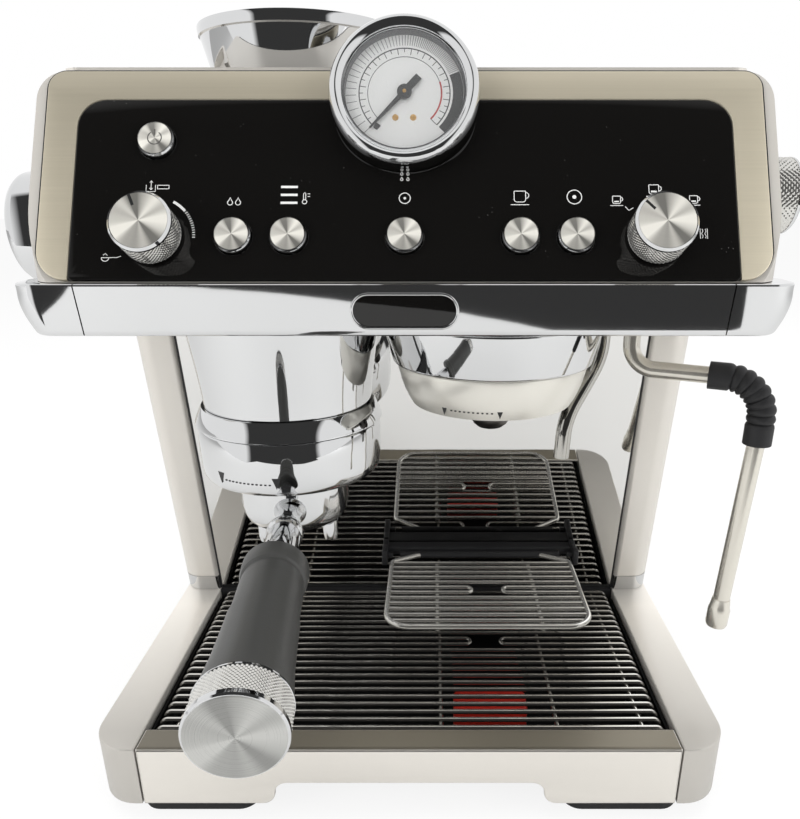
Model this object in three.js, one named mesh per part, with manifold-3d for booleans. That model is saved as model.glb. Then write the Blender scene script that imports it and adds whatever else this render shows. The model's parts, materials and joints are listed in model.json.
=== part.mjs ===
// Espresso machine with a grinder, a tamping station, a brew group and a steam wand.
// Millimetres, +Z up, the front faces -Y. The origin ends under the middle of the whole machine.
import * as THREE from 'three';
import { mergeVertices } from 'three/addons/utils/BufferGeometryUtils.js';
import Module from 'manifold-3d';

const wasm = await Module();
wasm.setup();

// ---------------------------------------------------------------- driving dimensions

const DEG = Math.PI / 180;
const QUARTER = 90;               // degrees in a quarter turn
const seam = 0.3;                 // gap between two fixed pieces that seat on each other
const runGap = 0.8;               // gap round a piece that moves
const round = 22;                 // facets round a large turned piece
const gaugeRound = 28;            // facets round the gauge's bezel
const smallRound = 10;            // facets round a small turned piece
const wireSides = 4;              // facets round a grille or shelf wire

const bodyWidth = 343;
const bodyDepth = 365;
const cornerRadius = 22;          // upright corners at the front, seen from above
const rearCornerRadius = 12;
const footHeight = 13;
const footLength = 66;
const footDepth = 24;
const footInset = 20;             // from the side of the body to the outer end of a foot
const footSetback = 8;            // from the front or rear of the body to a foot
const baseHeight = 37;
const casingWidth = 26;           // the steel rail on each side of the base
const edgeChamfer = 1;

const trayDepth = 162.2;          // front of the base to the back of the drip tray
const trayWall = 2;
const trayFrontWall = 3;
const trayRimDepth = 15.7;        // top flange of the tray front
const trayFloor = 7;              // chassis floor under the tray
const gripWidth = 146;            // raised middle of the tray front
const gripHeight = 14.4;
const gripRadius = 7;
const wireRadius = 1.4;
const wireMargin = 1.36;          // last wire of the grille to the back of the tray
const rimClearance = 1.4;         // rim of the tray front to the first wire
const wireCount = 23;
const weldDrop = 1.5;             // axis of a cross wire down to the axis of the carrier under it
const wireBend = 4;               // bend radius at the ends of the grille wires
const wireTail = 3;               // straight end of a grille wire below its bend
const slotCentre = 47;            // finger slots of the grille and of the cup shelf
const slotWidth = 20;
const slotWire = 12;              // the grille wire in front of the finger slot, from the front
const carrierInset = 16.5;        // inside of a casing to the outer carriers of the grille
const middleCarriers = [-82, 17, 82];
const floatWidth = 44;
const floatDepth = 17;
const floatHeight = 15;
const floatRise = 4;
const floatSetback = 46;

const headBottom = 264;           // height of the underside of the head
const headHeight = 115;
const lipHeight = 24;
const lipWall = 3.5;
const topRounding = 12;           // long side edges of the head's top
const lipProud = 2;               // the lip stands forward of the panel's foot
const lipFlare = 7;               // the lip's corners stand out of the sides by this
const lipTuck = 4;                // the lip leans in by this much at its lower edge
const lipReach = 36;              // how far the lip wraps back along each side
const lipSeamInset = 24.5;        // side of the body to the seam across the lip
const headSetback = 24;           // front of the base to the foot of the control panel
const panelLean = 27.5;           // control panel, degrees from upright
const panelWall = 2.5;
const frameInset = 6.5;           // side of the body to the panel's steel frame
const frameLower = 14;            // corner radii of the steel frame
const frameUpper = 8;
const glassInset = 15;            // side of the frame to the glass
const glassHeight = 88;
const glassCorner = 13;

const buttonRadius = 8.5;
const buttonProud = 3;
const buttonTravel = 2;
const buttonRow = 22;             // height of the lower row up the sloped panel
const outerButton = 36;           // axis of a knob to the nearest button
const innerButton = 61;           // axis of a knob to the second button
const powerInset = 36.7;          // side of the glass to the power button
const powerRow = 67.6;
const knobInset = 37;             // side of the glass to the axis of a knob
const knobRadius = 13.85;
const knobLength = 15.5;
const stemRadius = 4;
const stemLength = 9;
const gaugeRow = 86;
const gaugeRadius = 34;
const gaugeProud = 15.5;
const gaugeTilt = 6;              // the gauge is this much more upright than the panel, degrees
const gaugeSunk = 10;
const gaugeNeck = 14;             // the gauge goes through the panel with this radius
const dialRadius = 27;
const dialDepth = 7;              // rim of the bezel down to the dial
const glassDepth = 2.6;           // rim of the bezel down to the gauge glass
const needleRest = -137;          // degrees from straight up to the needle at rest

const backLean = 9.5;             // columns and back panel, degrees from upright
const backSetback = 163;          // front of the base to the foot of the back panel
const columnRadius = 18;          // rounding of the outer front edge of a column
const columnCollar = 12;          // foot collar of a column
const backPanelWall = 2.5;
const backPanelInset = 3;         // how far the back panel sits behind the columns

const stationX = -68;             // tamping station and the filter holder in it
const groupX = 45;                // brew group
const workSetback = 86.5;         // front of the base to both axes
const stationTop = 52;
const stationWaist = 46;
const bandRadius = 47.5;
const bandHeight = 10.5;
const collarRadius = 50.5;
const collarHeight = 29;
const collarBottom = 178.5;
const stationBore = 38;
const mouthBore = 33;
const collarShelf = 3;            // thickness of the shelf that the lugs rest on
const tamperRadius = 22.5;
const tamperRest = 214;
const tamperStem = 7;
const tamperGuide = 34;           // length of the tamper's stem inside the head
const shroudRadius = 60;
const shroudHeight = 23.5;
const groupRingHeight = 22.5;
const groupRingTop = 51.5;
const groupRingFoot = 44.5;
const groupBore = 34.5;
const screenRadius = 27;
const screenDrop = 17;            // dome of the shower screen below the ring

const bowlRadius = 31;
const bowlDepth = 40;
const bowlWall = 2.2;
const basketRadius = 27;
const basketDepth = 24;
const lugReach = 6;
const lugHeight = 4;
const lugAngle = -45;             // degrees from the right to a lug of the locked holder
const lugWidth = 14;
const lugTurn = 45;               // degrees the holder turns from its entry to locked
const handleDrop = 24;            // rim of the bowl down to the handle's axis
const handleSlope = 2;            // degrees below level
const handleYaw = 4.3;            // degrees, the holder is turned this far in the station
const neckRadius = 6;
const ferruleRadius = 8.8;
const gripStart = 89;             // distances from the axis of the bowl along the handle
const gripEnd = 180;
const handleEnd = 198;
const gripRadiusIn = 15.6;
const gripRadiusMid = 14.4;
const gripRadiusOut = 17.4;
const capRadius = 18.3;
const spoutSpread = 19;
const spoutRadius = 4.6;
const spoutDrop = 16;

const wandRadius = 4.5;
const wandOffset = 75;            // axis of the brew group to the wand's swivel
const wandSetback = 82.5;
const wandReach = 62;             // sideways, from the swivel to the hanging tube
const wandForward = 30;           // towards the front, from the swivel to the hanging tube
const wandLevel = 237;            // height of the level tube
const wandSleeveStart = 37;       // sideways, from the swivel to the rubber sleeve
const wandSleeveEnd = 203;        // height of the sleeve's lower end
const wandTip = 92;               // height of the tip
const wandCant = 7;               // the tip hangs this much nearer the machine
const sleeveRadius = 7.2;
const nozzleRadius = 6;
const nozzleLength = 18;
const ballRadius = 9;
const waterOffset = 66;           // axis of the brew group to the hot water spout
const waterSetback = 112.5;
const waterDrop = 85.7;
const waterShift = 21;            // how far the outlet swings back under the group
const waterRadius = 4.6;

const shelfOffset = 0.2;          // axis of the brew group to the middle of the shelf
const shelfHalf = 60.5;
const shelfSetback = 55.5;        // front of the base to the front wire of the shelf
const shelfDepth = 82;
const shelfLift = 39;             // top of the grille to the shelf
const shelfWire = 1.8;
const shelfCorner = 14;
const shelfWires = 12;
const shelfCarrier = [-30, 32];
const hingeRadius = 3;
const hingeBehind = 7;            // back edge of the shelf to its hinge axis
const bracketWidth = 5;
const bracketGap = 2.5;           // side wire of the shelf to the bracket beside it
const pinHalf = 2;                // half the width of the square hinge pin
const carrierHalf = 9;            // half the height of the shelf's carrier
const shelfLegIn = 24;            // the ends of the side wires bend inward by this

const hopperX = -62;
const hopperSetback = 154.5;
const hopperFoot = 46;
const hopperRim = 55;
const hopperHeight = 31.5;
const hopperWall = 3;
const lidThickness = 4;
const burrRadius = 20;
const burrHeight = 22;
const chamberDepth = 46;

const leverSetback = 78.5;
const leverZ = 309;
const leverHubRadius = 27;
const leverReach = 20;            // the lever's hub stands out of the side by this
const leverArm = 118;
const leverWidth = 16;
const leverWall = 7;
const leverGripRadius = 8;
const leverGripLength = 58;
const leverDroop = 8;             // degrees below level at rest
const steamSetback = 77.5;
const steamZ = 324.5;
const steamReach = 17;            // the steam knob stands out of the side by this
const steamRadius = 18;
const steamStem = 5;
const steamStemLength = 6;

const tankInset = 59.5;           // side of the body to the tank
const tankDepth = 66;
const tankWall = 2.5;
const tankLidHeight = 8;
const inletWidth = 30;
const inletHeight = 24;
const inletDepth = 16;
const coverWall = 2;
const railHeight = 6;
const railWidth = 4;
const railSetback = 46;           // top edge of the panel to the cup rail

// ---------------------------------------------------------------- derived levels and places

const half = bodyWidth / 2;
const front = -bodyDepth / 2;
const rear = bodyDepth / 2;
const baseTop = footHeight + baseHeight;
const innerHalf = half - casingWidth;
const carrierX = [carrierInset - innerHalf, ...middleCarriers, innerHalf - carrierInset];
const frameHalf = half - frameInset;
const glassHalf = frameHalf - glassInset;
const knobX = glassHalf - knobInset;
const powerX = powerInset - glassHalf;
const buttonX = [outerButton - knobX, innerButton - knobX, 0, knobX - innerButton, knobX - outerButton];
const lipSeamX = half - lipSeamInset;
const tankHalf = half - tankInset;
const workY = front + workSetback;
const leverY = front + leverSetback;
const steamY = front + steamSetback;
const hopperY = front + hopperSetback;
const wandX = groupX + wandOffset;
const wandY = front + wandSetback;
const waterX = groupX + waterOffset;
const waterY = front + waterSetback;
const shelfCentre = groupX + shelfOffset;
const shelfFront = front + shelfSetback;
const shelfBack = shelfFront + shelfDepth;
const trayBack = front + trayDepth;
const firstWire = front + trayRimDepth + rimClearance + wireRadius;
const wirePitch = (trayBack - wireMargin - firstWire) / (wireCount - 1);
const backFoot = front + backSetback;
const headTop = headBottom + headHeight;
const panelFootY = front + headSetback;
const panelFootZ = headBottom + lipHeight;
const panelRise = (headTop - panelFootZ) / Math.cos(panelLean * DEG);
const panelStart = seam + panelWall * Math.tan(panelLean * DEG);
const panelTopY = panelFootY + panelRise * Math.sin(panelLean * DEG);
const tankFront = rear - tankDepth;
const grilleTop = baseTop;
const grilleZ = grilleTop - wireRadius;
const shroudBottom = headBottom - shroudHeight;
const ringBottom = shroudBottom - groupRingHeight;
const shelfZ = grilleTop + shelfLift;
const collarTop = collarBottom + collarHeight;
const bandTop = collarTop + bandHeight;
const lugTop = collarBottom + collarShelf + seam + lugHeight;
const bowlTop = lugTop + 1;

const gaugeLift = gaugeRadius * Math.sin(gaugeTilt * DEG) + seam;
const backY = (z) => backFoot - Math.tan(backLean * DEG) * (z - baseTop);

// ---------------------------------------------------------------- finishes

const finish = (color, roughness, metalness) => ({ color, roughness, metalness });
const CHROME = finish(0xe2e3e4, 0.06, 1);
const SATIN = finish(0xcfcbc1, 0.38, 0.85);
const BRUSHED = finish(0xb9b09a, 0.34, 1);
const BLACK_GLASS = finish(0x14120f, 0.05, 0);
const DARK = finish(0x1d1d1e, 0.5, 0);
const CHARCOAL = finish(0x454543, 0.42, 0);
const RUBBER = finish(0x18181a, 0.72, 0);
const ALUMINIUM = finish(0xd4d2cd, 0.28, 1);
const RED = finish(0xb5261f, 0.45, 0);
const DIAL = finish(0xe9e9ea, 0.5, 0);
const SMOKE = finish(0x3a3d40, 0.12, 0);
const CLEAR = finish(0xf2f6f8, 0.03, 0);
const MIRROR = finish(0xdfe1e3, 0.03, 1);

// ---------------------------------------------------------------- solids and booleans

function toSolid(geometry) {
  const bare = new THREE.BufferGeometry();
  bare.setAttribute('position', geometry.getAttribute('position').clone());
  if (geometry.index) bare.setIndex(geometry.index.clone());
  const merged = mergeVertices(bare, 1e-4);
  const index = merged.index.array;
  const kept = [];
  for (let i = 0; i < index.length; i += 3) {
    const [a, b, c] = [index[i], index[i + 1], index[i + 2]];
    if (a !== b && b !== c && a !== c) kept.push(a, b, c);
  }
  const vertProperties = new Float32Array(merged.getAttribute('position').array);
  const triVerts = new Uint32Array(kept);
  return new wasm.Manifold(new wasm.Mesh({ numProp: 3, vertProperties, triVerts }));
}

function toGeometry(manifold) {
  const mesh = manifold.getMesh();
  const geometry = new THREE.BufferGeometry();
  const position = new Float32Array(mesh.vertProperties);
  geometry.setAttribute('position', new THREE.BufferAttribute(position, 3));
  geometry.setIndex(new THREE.BufferAttribute(new Uint32Array(mesh.triVerts), 1));
  geometry.computeVertexNormals();
  return geometry;
}

const join = (...parts) => parts.reduce((all, part) => all.add(part));
const cut = (stock, ...tools) => tools.reduce((left, tool) => left.subtract(tool), stock);

/** A block given by its low and high limits along X, Y and Z. */
function block(x0, x1, y0, y1, z0, z1) {
  const geometry = new THREE.BoxGeometry(x1 - x0, y1 - y0, z1 - z0);
  geometry.translate((x0 + x1) / 2, (y0 + y1) / 2, (z0 + z1) / 2);
  return toSolid(geometry);
}

/** A solid turned about Z from [radius, height] points that start and end on the axis. */
function turned(profile, facets = round) {
  const points = profile.map(([r, z]) => new THREE.Vector2(r, z));
  const geometry = new THREE.LatheGeometry(points, facets);
  geometry.rotateX(Math.PI / 2);
  return toSolid(geometry);
}

/** A ring turned about Z from a loop of [radius, height] points. */
function turnedRing(loop, facets = round) {
  return turned([...loop, loop[0]], facets);
}

/** A plain cylinder along Z from z0 to z1. */
function disc(radius, z0, z1, facets = round) {
  return turned([[0, z0], [radius, z0], [radius, z1], [0, z1]], facets);
}

/** A flat shape raised along Z, with an optional chamfer on both ends that keeps its size. */
function plate(shape, z0, z1, chamfer = 0, curveSegments = 6) {
  const geometry = new THREE.ExtrudeGeometry(shape, {
    depth: z1 - z0 - 2 * chamfer,
    curveSegments,
    bevelEnabled: chamfer > 0,
    bevelThickness: chamfer,
    bevelSize: chamfer,
    bevelOffset: -chamfer,
    bevelSegments: 1,
  });
  geometry.translate(0, 0, z0 + chamfer);
  return toSolid(geometry);
}

/** A side outline of [y, z] points carried along X from x0 to x1. */
function sideways(outline, x0, x1) {
  const shape = new THREE.Shape(outline.map(([y, z]) => new THREE.Vector2(y, z)));
  const geometry = new THREE.ExtrudeGeometry(shape, { depth: x1 - x0, bevelEnabled: false });
  geometry.rotateZ(Math.PI / 2);
  geometry.rotateY(Math.PI / 2);
  geometry.translate(x0, 0, 0);
  return toSolid(geometry);
}

/** A rectangle with its own radius at each corner: lower left, lower right, upper right, upper left. */
function roundedRect(x0, x1, y0, y1, radii) {
  const [a, b, c, d] = Array.isArray(radii) ? radii : [radii, radii, radii, radii];
  const shape = new THREE.Shape();
  const corner = (x, y, r, from) => {
    if (r > 0) shape.absarc(x, y, r, from, from + Math.PI / 2, false);
    else shape.lineTo(x, y);
  };
  shape.moveTo(x0 + a, y0);
  corner(x1 - b, y0 + b, b, -Math.PI / 2);
  corner(x1 - c, y1 - c, c, 0);
  corner(x0 + d, y1 - d, d, Math.PI / 2);
  corner(x0 + a, y0 + a, a, Math.PI);
  return shape;
}

/** A path through fixed points that a section is swept along, one step for each stretch. */
class WirePath extends THREE.Curve {
  constructor(points) {
    super();
    this.points = points.map((p) => new THREE.Vector3(...p));
  }

  getPoint(t) {
    const at = t * (this.points.length - 1);
    const i = Math.min(Math.floor(at), this.points.length - 2);
    return this.points[i].clone().lerp(this.points[i + 1], at - i);
  }

  getTangent(t) {
    const i = Math.round(t * (this.points.length - 1));
    const before = this.points[Math.max(i - 1, 0)];
    const after = this.points[Math.min(i + 1, this.points.length - 1)];
    return after.clone().sub(before).normalize();
  }

  getPointAt(u) {
    return this.getPoint(u);
  }

  getTangentAt(u) {
    return this.getTangent(u);
  }
}

/** A round rod along a list of points. */
function rod(points, radius, sides = 8) {
  const section = new THREE.Shape();
  for (let i = 0; i < sides; i += 1) {
    const angle = (2 * Math.PI * (i + 0.5)) / sides;
    const draw = i === 0 ? 'moveTo' : 'lineTo';
    section[draw](radius * Math.cos(angle), radius * Math.sin(angle));
  }
  const geometry = new THREE.ExtrudeGeometry(section, {
    steps: points.length - 1,
    bevelEnabled: false,
    extrudePath: new WirePath(points),
  });
  return toSolid(geometry);
}

/** Points along a smooth curve through a few fixed points. */
function smooth(points, steps) {
  const curve = new THREE.CatmullRomCurve3(points.map((p) => new THREE.Vector3(...p)));
  return curve.getPoints(steps).map((p) => p.toArray());
}

/** Points of an arc in the plane of two unit directions. */
function arcPoints(centre, radius, along, across, from, to, steps) {
  const points = [];
  for (let i = 0; i <= steps; i += 1) {
    const angle = (from + ((to - from) * i) / steps) * DEG;
    const u = radius * Math.cos(angle);
    const v = radius * Math.sin(angle);
    points.push(centre.map((c, k) => c + u * along[k] + v * across[k]));
  }
  return points;
}

const AXIS_X = [1, 0, 0];
const AXIS_Y = [0, 1, 0];
const AXIS_Z = [0, 0, 1];

const machine = new THREE.Group();
machine.name = 'espresso_machine';

/** Adds one named piece to a group. */
function addPiece(name, manifold, look, parent = machine) {
  const material = new THREE.MeshStandardMaterial({ ...look, name: `${name}_finish` });
  const mesh = new THREE.Mesh(toGeometry(manifold), material);
  mesh.name = name;
  parent.add(mesh);
  return mesh;
}

/** Turns a solid made along Z so that it runs along X, and moves it to a place. */
function alongX(manifold, side, x, y, z) {
  return manifold.rotate([0, 90 * side, 0]).translate([x, y, z]);
}

// ---------------------------------------------------------------- base, feet and drip tray

/** The outline of the body seen from above, with its front and rear corners rounded. */
function bodyPlan(inset) {
  const r = cornerRadius - inset;
  const back = rearCornerRadius - inset;
  return roundedRect(-half + inset, half - inset, front + inset, rear - inset, [r, r, back, back]);
}

function buildBase() {
  const chassisHalf = innerHalf - seam;
  const floorTop = footHeight + trayFloor;
  const chassis = cut(
    block(-chassisHalf, chassisHalf, front + trayRimDepth, rear, footHeight, baseTop),
    block(-half, half, front, trayBack + runGap, floorTop, baseTop + 1),
    block(-gripWidth / 2, gripWidth / 2, front, front + 2 * trayRimDepth, 0, floorTop + 1),
    inletTool(runGap),
  );
  addPiece('base_chassis', chassis, DARK);

  const whole = plate(bodyPlan(0), footHeight, baseTop, edgeChamfer);
  for (const [name, side] of [['left', -1], ['right', 1]]) {
    const inner = side * innerHalf;
    const outer = side * (half + 1);
    const rail = block(Math.min(inner, outer), Math.max(inner, outer), front - 1, rear + 1, 0, headTop);
    addPiece(`base_casing_${name}`, whole.intersect(rail), SATIN);
  }

  for (const [xName, side] of [['left', -1], ['right', 1]]) {
    for (const [yName, y] of [['front', front + footSetback], ['rear', rear - footSetback - footDepth]]) {
      const outerEnd = half - footInset;
      const x0 = side < 0 ? -outerEnd : outerEnd - footLength;
      const outline = roundedRect(x0, x0 + footLength, y, y + footDepth, footDepth / 2 - 1);
      addPiece(`foot_${yName}_${xName}`, plate(outline, 0, footHeight - seam, 0, 3), RUBBER);
    }
  }
}

/** The wire grille: cross wires with bent ends on lengthwise carriers, with a finger slot. */
function grilleSolid(firstY) {
  const reach = innerHalf - runGap - trayWall - seam - wireRadius - 1;
  const drop = grilleZ - wireBend;
  const rightEnd = arcPoints([reach - wireBend, 0, drop], wireBend, AXIS_X, AXIS_Z, 90, 0, 1);
  const tail = [reach, 0, drop - wireTail];
  const rightHalf = (startX) => [[startX, 0, grilleZ], ...rightEnd, tail];
  const mirrored = (points) => points.map(([x, y, z]) => [-x, y, z]).reverse();
  const wholeWire = rod([...mirrored([...rightEnd, tail]), ...rightEnd, tail], wireRadius, wireSides);
  const wires = [];
  for (let i = 0; i < wireCount; i += 1) {
    const y = firstY + i * wirePitch;
    if (i !== slotWire && i !== slotWire + 1) wires.push(wholeWire.translate([0, y, 0]));
  }
  // The two wires at the finger slot stop short of it and meet in a hairpin bend on each side.
  const slotY = firstY + (slotWire + 0.5) * wirePitch;
  const bend = wirePitch / 2;
  for (const side of [-1, 1]) {
    const tip = slotCentre + (side * slotWidth) / 2;
    const hairpin = arcPoints([tip + side * bend, slotY, grilleZ], bend, AXIS_X, AXIS_Y, 90, 270, 3);
    const straight = rightHalf(tip + side * bend).slice(1);
    const shape = side > 0 ? hairpin : hairpin.map(([x, y, z]) => [2 * (tip + side * bend) - x, y, z]);
    const outward = (y) => straight.map(([x, , z]) => [side * x, y, z]);
    const firstLeg = outward(slotY + bend).reverse();
    wires.push(rod([...firstLeg, ...shape, ...outward(slotY - bend)], wireRadius, wireSides));
  }
  const lastY = firstY + (wireCount - 1) * wirePitch;
  const carrierZ = grilleZ - weldDrop;
  for (const x of carrierX) {
    wires.push(rod([[x, firstY - 1, carrierZ], [x, lastY + 1, carrierZ]], wireRadius, wireSides));
  }
  return join(...wires);
}

function buildTray() {
  const outer = innerHalf - runGap;
  const floorZ = footHeight + trayFloor + runGap;
  const rimZ = grilleTop - 5;
  const frontY = front + trayFrontWall + seam;
  const ledgeZ = grilleZ - wireBend - wireTail - seam;
  const ledge = 9;
  const outline = roundedRect(-outer, outer, frontY, trayBack, [2, 2, 6, 6]);
  const cavity = roundedRect(-outer + ledge, outer - ledge, frontY + trayRimDepth, trayBack - 5, 5);
  const recess = roundedRect(-outer + trayWall, outer - trayWall, frontY + trayWall, trayBack + 1, [4, 4, 0, 0]);
  const tub = cut(
    plate(outline, floorZ, rimZ, 0, 3),
    plate(cavity, floorZ + trayWall, rimZ + 1, 0, 3),
    plate(recess, ledgeZ, rimZ + 1, 0, 3),
    block(-gripWidth / 2, gripWidth / 2, front, frontY + trayRimDepth - 3, 0, footHeight + gripHeight + 1),
  );
  addPiece('tray_tub', tub, DARK);

  // The steel front of the tray: its lower edge steps up in the middle to leave room for a hand.
  const foot = footHeight + seam;
  const raised = footHeight + gripHeight;
  const grip = gripWidth / 2;
  const shape = new THREE.Shape();
  shape.moveTo(-outer, foot);
  shape.lineTo(-grip - gripRadius, foot);
  shape.absarc(-grip - gripRadius, foot + gripRadius, gripRadius, -Math.PI / 2, 0, false);
  shape.absarc(-grip + gripRadius, raised - gripRadius, gripRadius, Math.PI, Math.PI / 2, true);
  shape.lineTo(grip - gripRadius, raised);
  shape.absarc(grip - gripRadius, raised - gripRadius, gripRadius, Math.PI / 2, 0, true);
  shape.absarc(grip + gripRadius, foot + gripRadius, gripRadius, Math.PI, 1.5 * Math.PI, false);
  shape.lineTo(outer, foot);
  shape.lineTo(outer, baseTop);
  shape.lineTo(-outer, baseTop);
  const face = plate(shape, 0, trayFrontWall, 0, 4).rotate([90, 0, 0]).translate([0, front + trayFrontWall, 0]);
  const flange = block(-outer, outer, front, front + trayRimDepth, baseTop - trayWall, baseTop);
  addPiece('tray_front', join(face, flange), SATIN);

  addPiece('tray_grille', grilleSolid(firstWire), CHROME);

  const floatZ = floorZ + trayWall + seam;
  const floatShape = roundedRect(0, floatWidth, 0, floatDepth, 3);
  const float = plate(floatShape, floatZ, floatZ + floatHeight, 0, 3);
  const floatX = slotCentre - floatWidth / 2;
  addPiece('tray_float', float.translate([floatX, front + floatSetback, 0]), RED);
}

// ---------------------------------------------------------------- back, columns and rear housing

/** The space behind the face of the back panel, grown by the seam, to trim what seats on it. */
function behindBack() {
  const faceY = (z) => backY(z) + backPanelInset - seam;
  const low = baseTop;
  const high = headTop;
  return sideways([[faceY(low), low], [rear, low], [rear, high], [faceY(high), high]], -half, half);
}

function buildBack() {
  const top = headBottom - seam;
  for (const [name, side] of [['left', -1], ['right', 1]]) {
    // A side panel whose front is the rounded column; the front leans with the back panel.
    const r = columnRadius;
    const plan = roundedRect(innerHalf, half, backFoot, rear, [3, r, rearCornerRadius, 0]);
    const depth = top - baseTop - seam;
    const geometry = new THREE.ExtrudeGeometry(plan, { depth, bevelEnabled: false, curveSegments: 6 });
    geometry.translate(0, 0, baseTop + seam);
    const position = geometry.getAttribute('position');
    for (let i = 0; i < position.count; i += 1) {
      const y = position.getY(i);
      const shift = y < 0 || y < backFoot + r + 1 ? backY(position.getZ(i)) - backFoot : 0;
      position.setY(i, y + shift);
    }
    const panel = toSolid(geometry);
    const grooveZ = baseTop + columnCollar;
    const groove = block(half - 0.6, half + 1, backFoot - 60, rear + 1, grooveZ, grooveZ + 0.8);
    const frontGroove = block(innerHalf - 1, half + 1, backFoot - 60, backY(grooveZ) + 0.6, grooveZ, grooveZ + 0.8);
    const finished = cut(panel, groove, frontGroove);
    addPiece(`side_panel_${name}`, side > 0 ? finished : finished.mirror([1, 0, 0]), SATIN);
  }

  const y0 = (z) => backY(z) + backPanelInset;
  const y1 = (z) => y0(z) + backPanelWall;
  const low = baseTop + seam;
  const sheet = [[y0(low), low], [y1(low), low], [y1(top), top], [y0(top), top]];
  addPiece('back_panel', sideways(sheet, -innerHalf + seam, innerHalf - seam), MIRROR);

  const housing = [[y1(low) + seam, low], [rear, low], [rear, top], [y1(top) + seam, top]];
  const bay = block(-tankHalf - runGap, tankHalf + runGap, tankFront - runGap, rear + 1, baseTop, headTop);
  addPiece('rear_housing', cut(sideways(housing, -innerHalf + seam, innerHalf - seam), bay), DARK);
}

/** The mains inlet, also used with a gap to cut its seat. */
function inletTool(gap) {
  const w = inletWidth / 2 + gap;
  const outline = roundedRect(-w, w, -gap, inletHeight + gap, 4);
  return plate(outline, -gap, inletDepth + (gap > 0 ? 1 : 0), 0, 3)
    .rotate([90, 0, 180])
    .translate([inletX(), rear - inletDepth, inletZ()]);
}

function inletX() {
  return half - casingWidth - inletWidth;
}

function inletZ() {
  return footHeight + (baseHeight - inletHeight) / 2;
}

function buildInlet() {
  const slotDepth = inletDepth - 4;
  const pins = [-1, 0, 1].map((k) => {
    const x = inletX() + k * 6.5;
    const z = inletZ() + inletHeight / 2 + (k === 0 ? 3 : -2);
    return block(x - 1.1, x + 1.1, rear - inletDepth + 2, rear - 3, z - 2, z + 2);
  });
  const well = block(
    inletX() - inletWidth / 2 + 3,
    inletX() + inletWidth / 2 - 3,
    rear - slotDepth,
    rear + 1,
    inletZ() + 4,
    inletZ() + inletHeight - 4,
  );
  addPiece('power_inlet', join(cut(inletTool(0), well), ...pins), DARK);
}

// ---------------------------------------------------------------- head

/** The wedge outline of the head from the side, drawn inside its skin by an inset. */
function headOutline(inset) {
  const lean = panelLean * DEG;
  const back = inset / Math.cos(lean);
  return [
    [panelFootY + back, headBottom],
    [panelFootY + back, panelFootZ],
    [panelTopY + back, headTop],
    [rear, headTop],
    [rear, headBottom],
  ];
}

/** Places a solid made on the panel (x across, y up the slope, z outward) in the machine. */
function ontoPanel(manifold) {
  return manifold.rotate([90 - panelLean, 0, 0]).translate([0, panelFootY, panelFootZ]);
}

function buildHead() {
  const inset = panelWall + seam;
  const plan = plate(roundedRect(-half, half, panelFootY, rear, [cornerRadius, cornerRadius, 12, 12]),
    headBottom, headTop);
  const gable = plate(roundedRect(-half, half, headBottom, headTop, [0, 0, topRounding, topRounding]), front, rear)
    .rotate([90, 0, 0])
    .mirror([0, 1, 0]);
  const wedge = sideways(headOutline(inset), -half, half).intersect(plan).intersect(gable);
  const lipBack = panelFootY + lipReach + seam;
  const lipSeat = cut(block(-half - 1, half + 1, front, lipBack, headBottom - 1, panelFootZ), lipCore(seam));
  const controls = [...buttonPlaces(), ...knobPlaces()].map(([, x, y, isKnob]) => {
    const radius = isKnob ? stemRadius + runGap : buttonRadius + seam;
    const depth = isKnob ? stemLength + 2 : panelWall + 3 + buttonTravel;
    return ontoPanel(disc(radius, -depth, 5, smallRound).translate([x, y, 0]));
  });
  const gaugeSeat = ontoPanel(disc(gaugeNeck + seam, -gaugeSunk - seam, 30).translate([0, gaugeRow, 0]));
  const bay = block(-tankHalf - runGap, tankHalf + runGap, tankFront - runGap, rear + 1, 0, headTop + 1);
  const chamber = disc(burrRadius + 4, headTop - chamberDepth, headTop + 1).translate([hopperX, hopperY, 0]);
  const stemBore = disc(tamperStem + runGap, headBottom - 1, headBottom + tamperGuide + 1, smallRound)
    .translate([stationX, workY, 0]);
  const steamSeat = alongX(disc(steamStem + runGap, -steamStemLength - 1, 9, smallRound), 1, half, steamY, steamZ);
  addPiece('head_body', cut(wedge, lipSeat, ...controls, gaugeSeat, bay, chamber, stemBore, steamSeat), SATIN);

  const frameOuter = roundedRect(-frameHalf, frameHalf, panelStart, panelRise, [
    frameLower, frameLower, frameUpper, frameUpper]);
  const opening = roundedRect(-glassHalf - seam, glassHalf + seam, -5, glassHeight + seam, [
    0, 0, glassCorner, glassCorner]);
  const gaugeHole = disc(gaugeNeck + seam, -9, 9).translate([0, gaugeRow, 0]);
  const frame = cut(plate(frameOuter, -panelWall, 0, 0.6), plate(opening, -9, 9), gaugeHole);
  addPiece('panel_frame', ontoPanel(frame), BRUSHED);

  const glassOutline = roundedRect(-glassHalf, glassHalf, panelStart, glassHeight, [2, 2, glassCorner, glassCorner]);
  const holes = [...buttonPlaces(), ...knobPlaces()].map(([, x, y, isKnob]) => {
    const radius = isKnob ? stemRadius + runGap : buttonRadius + seam;
    return disc(radius, -9, 9, smallRound).translate([x, y, 0]);
  });
  addPiece('control_glass', ontoPanel(cut(plate(glassOutline, -panelWall, 0), gaugeHole, ...holes)), BLACK_GLASS);
}

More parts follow.
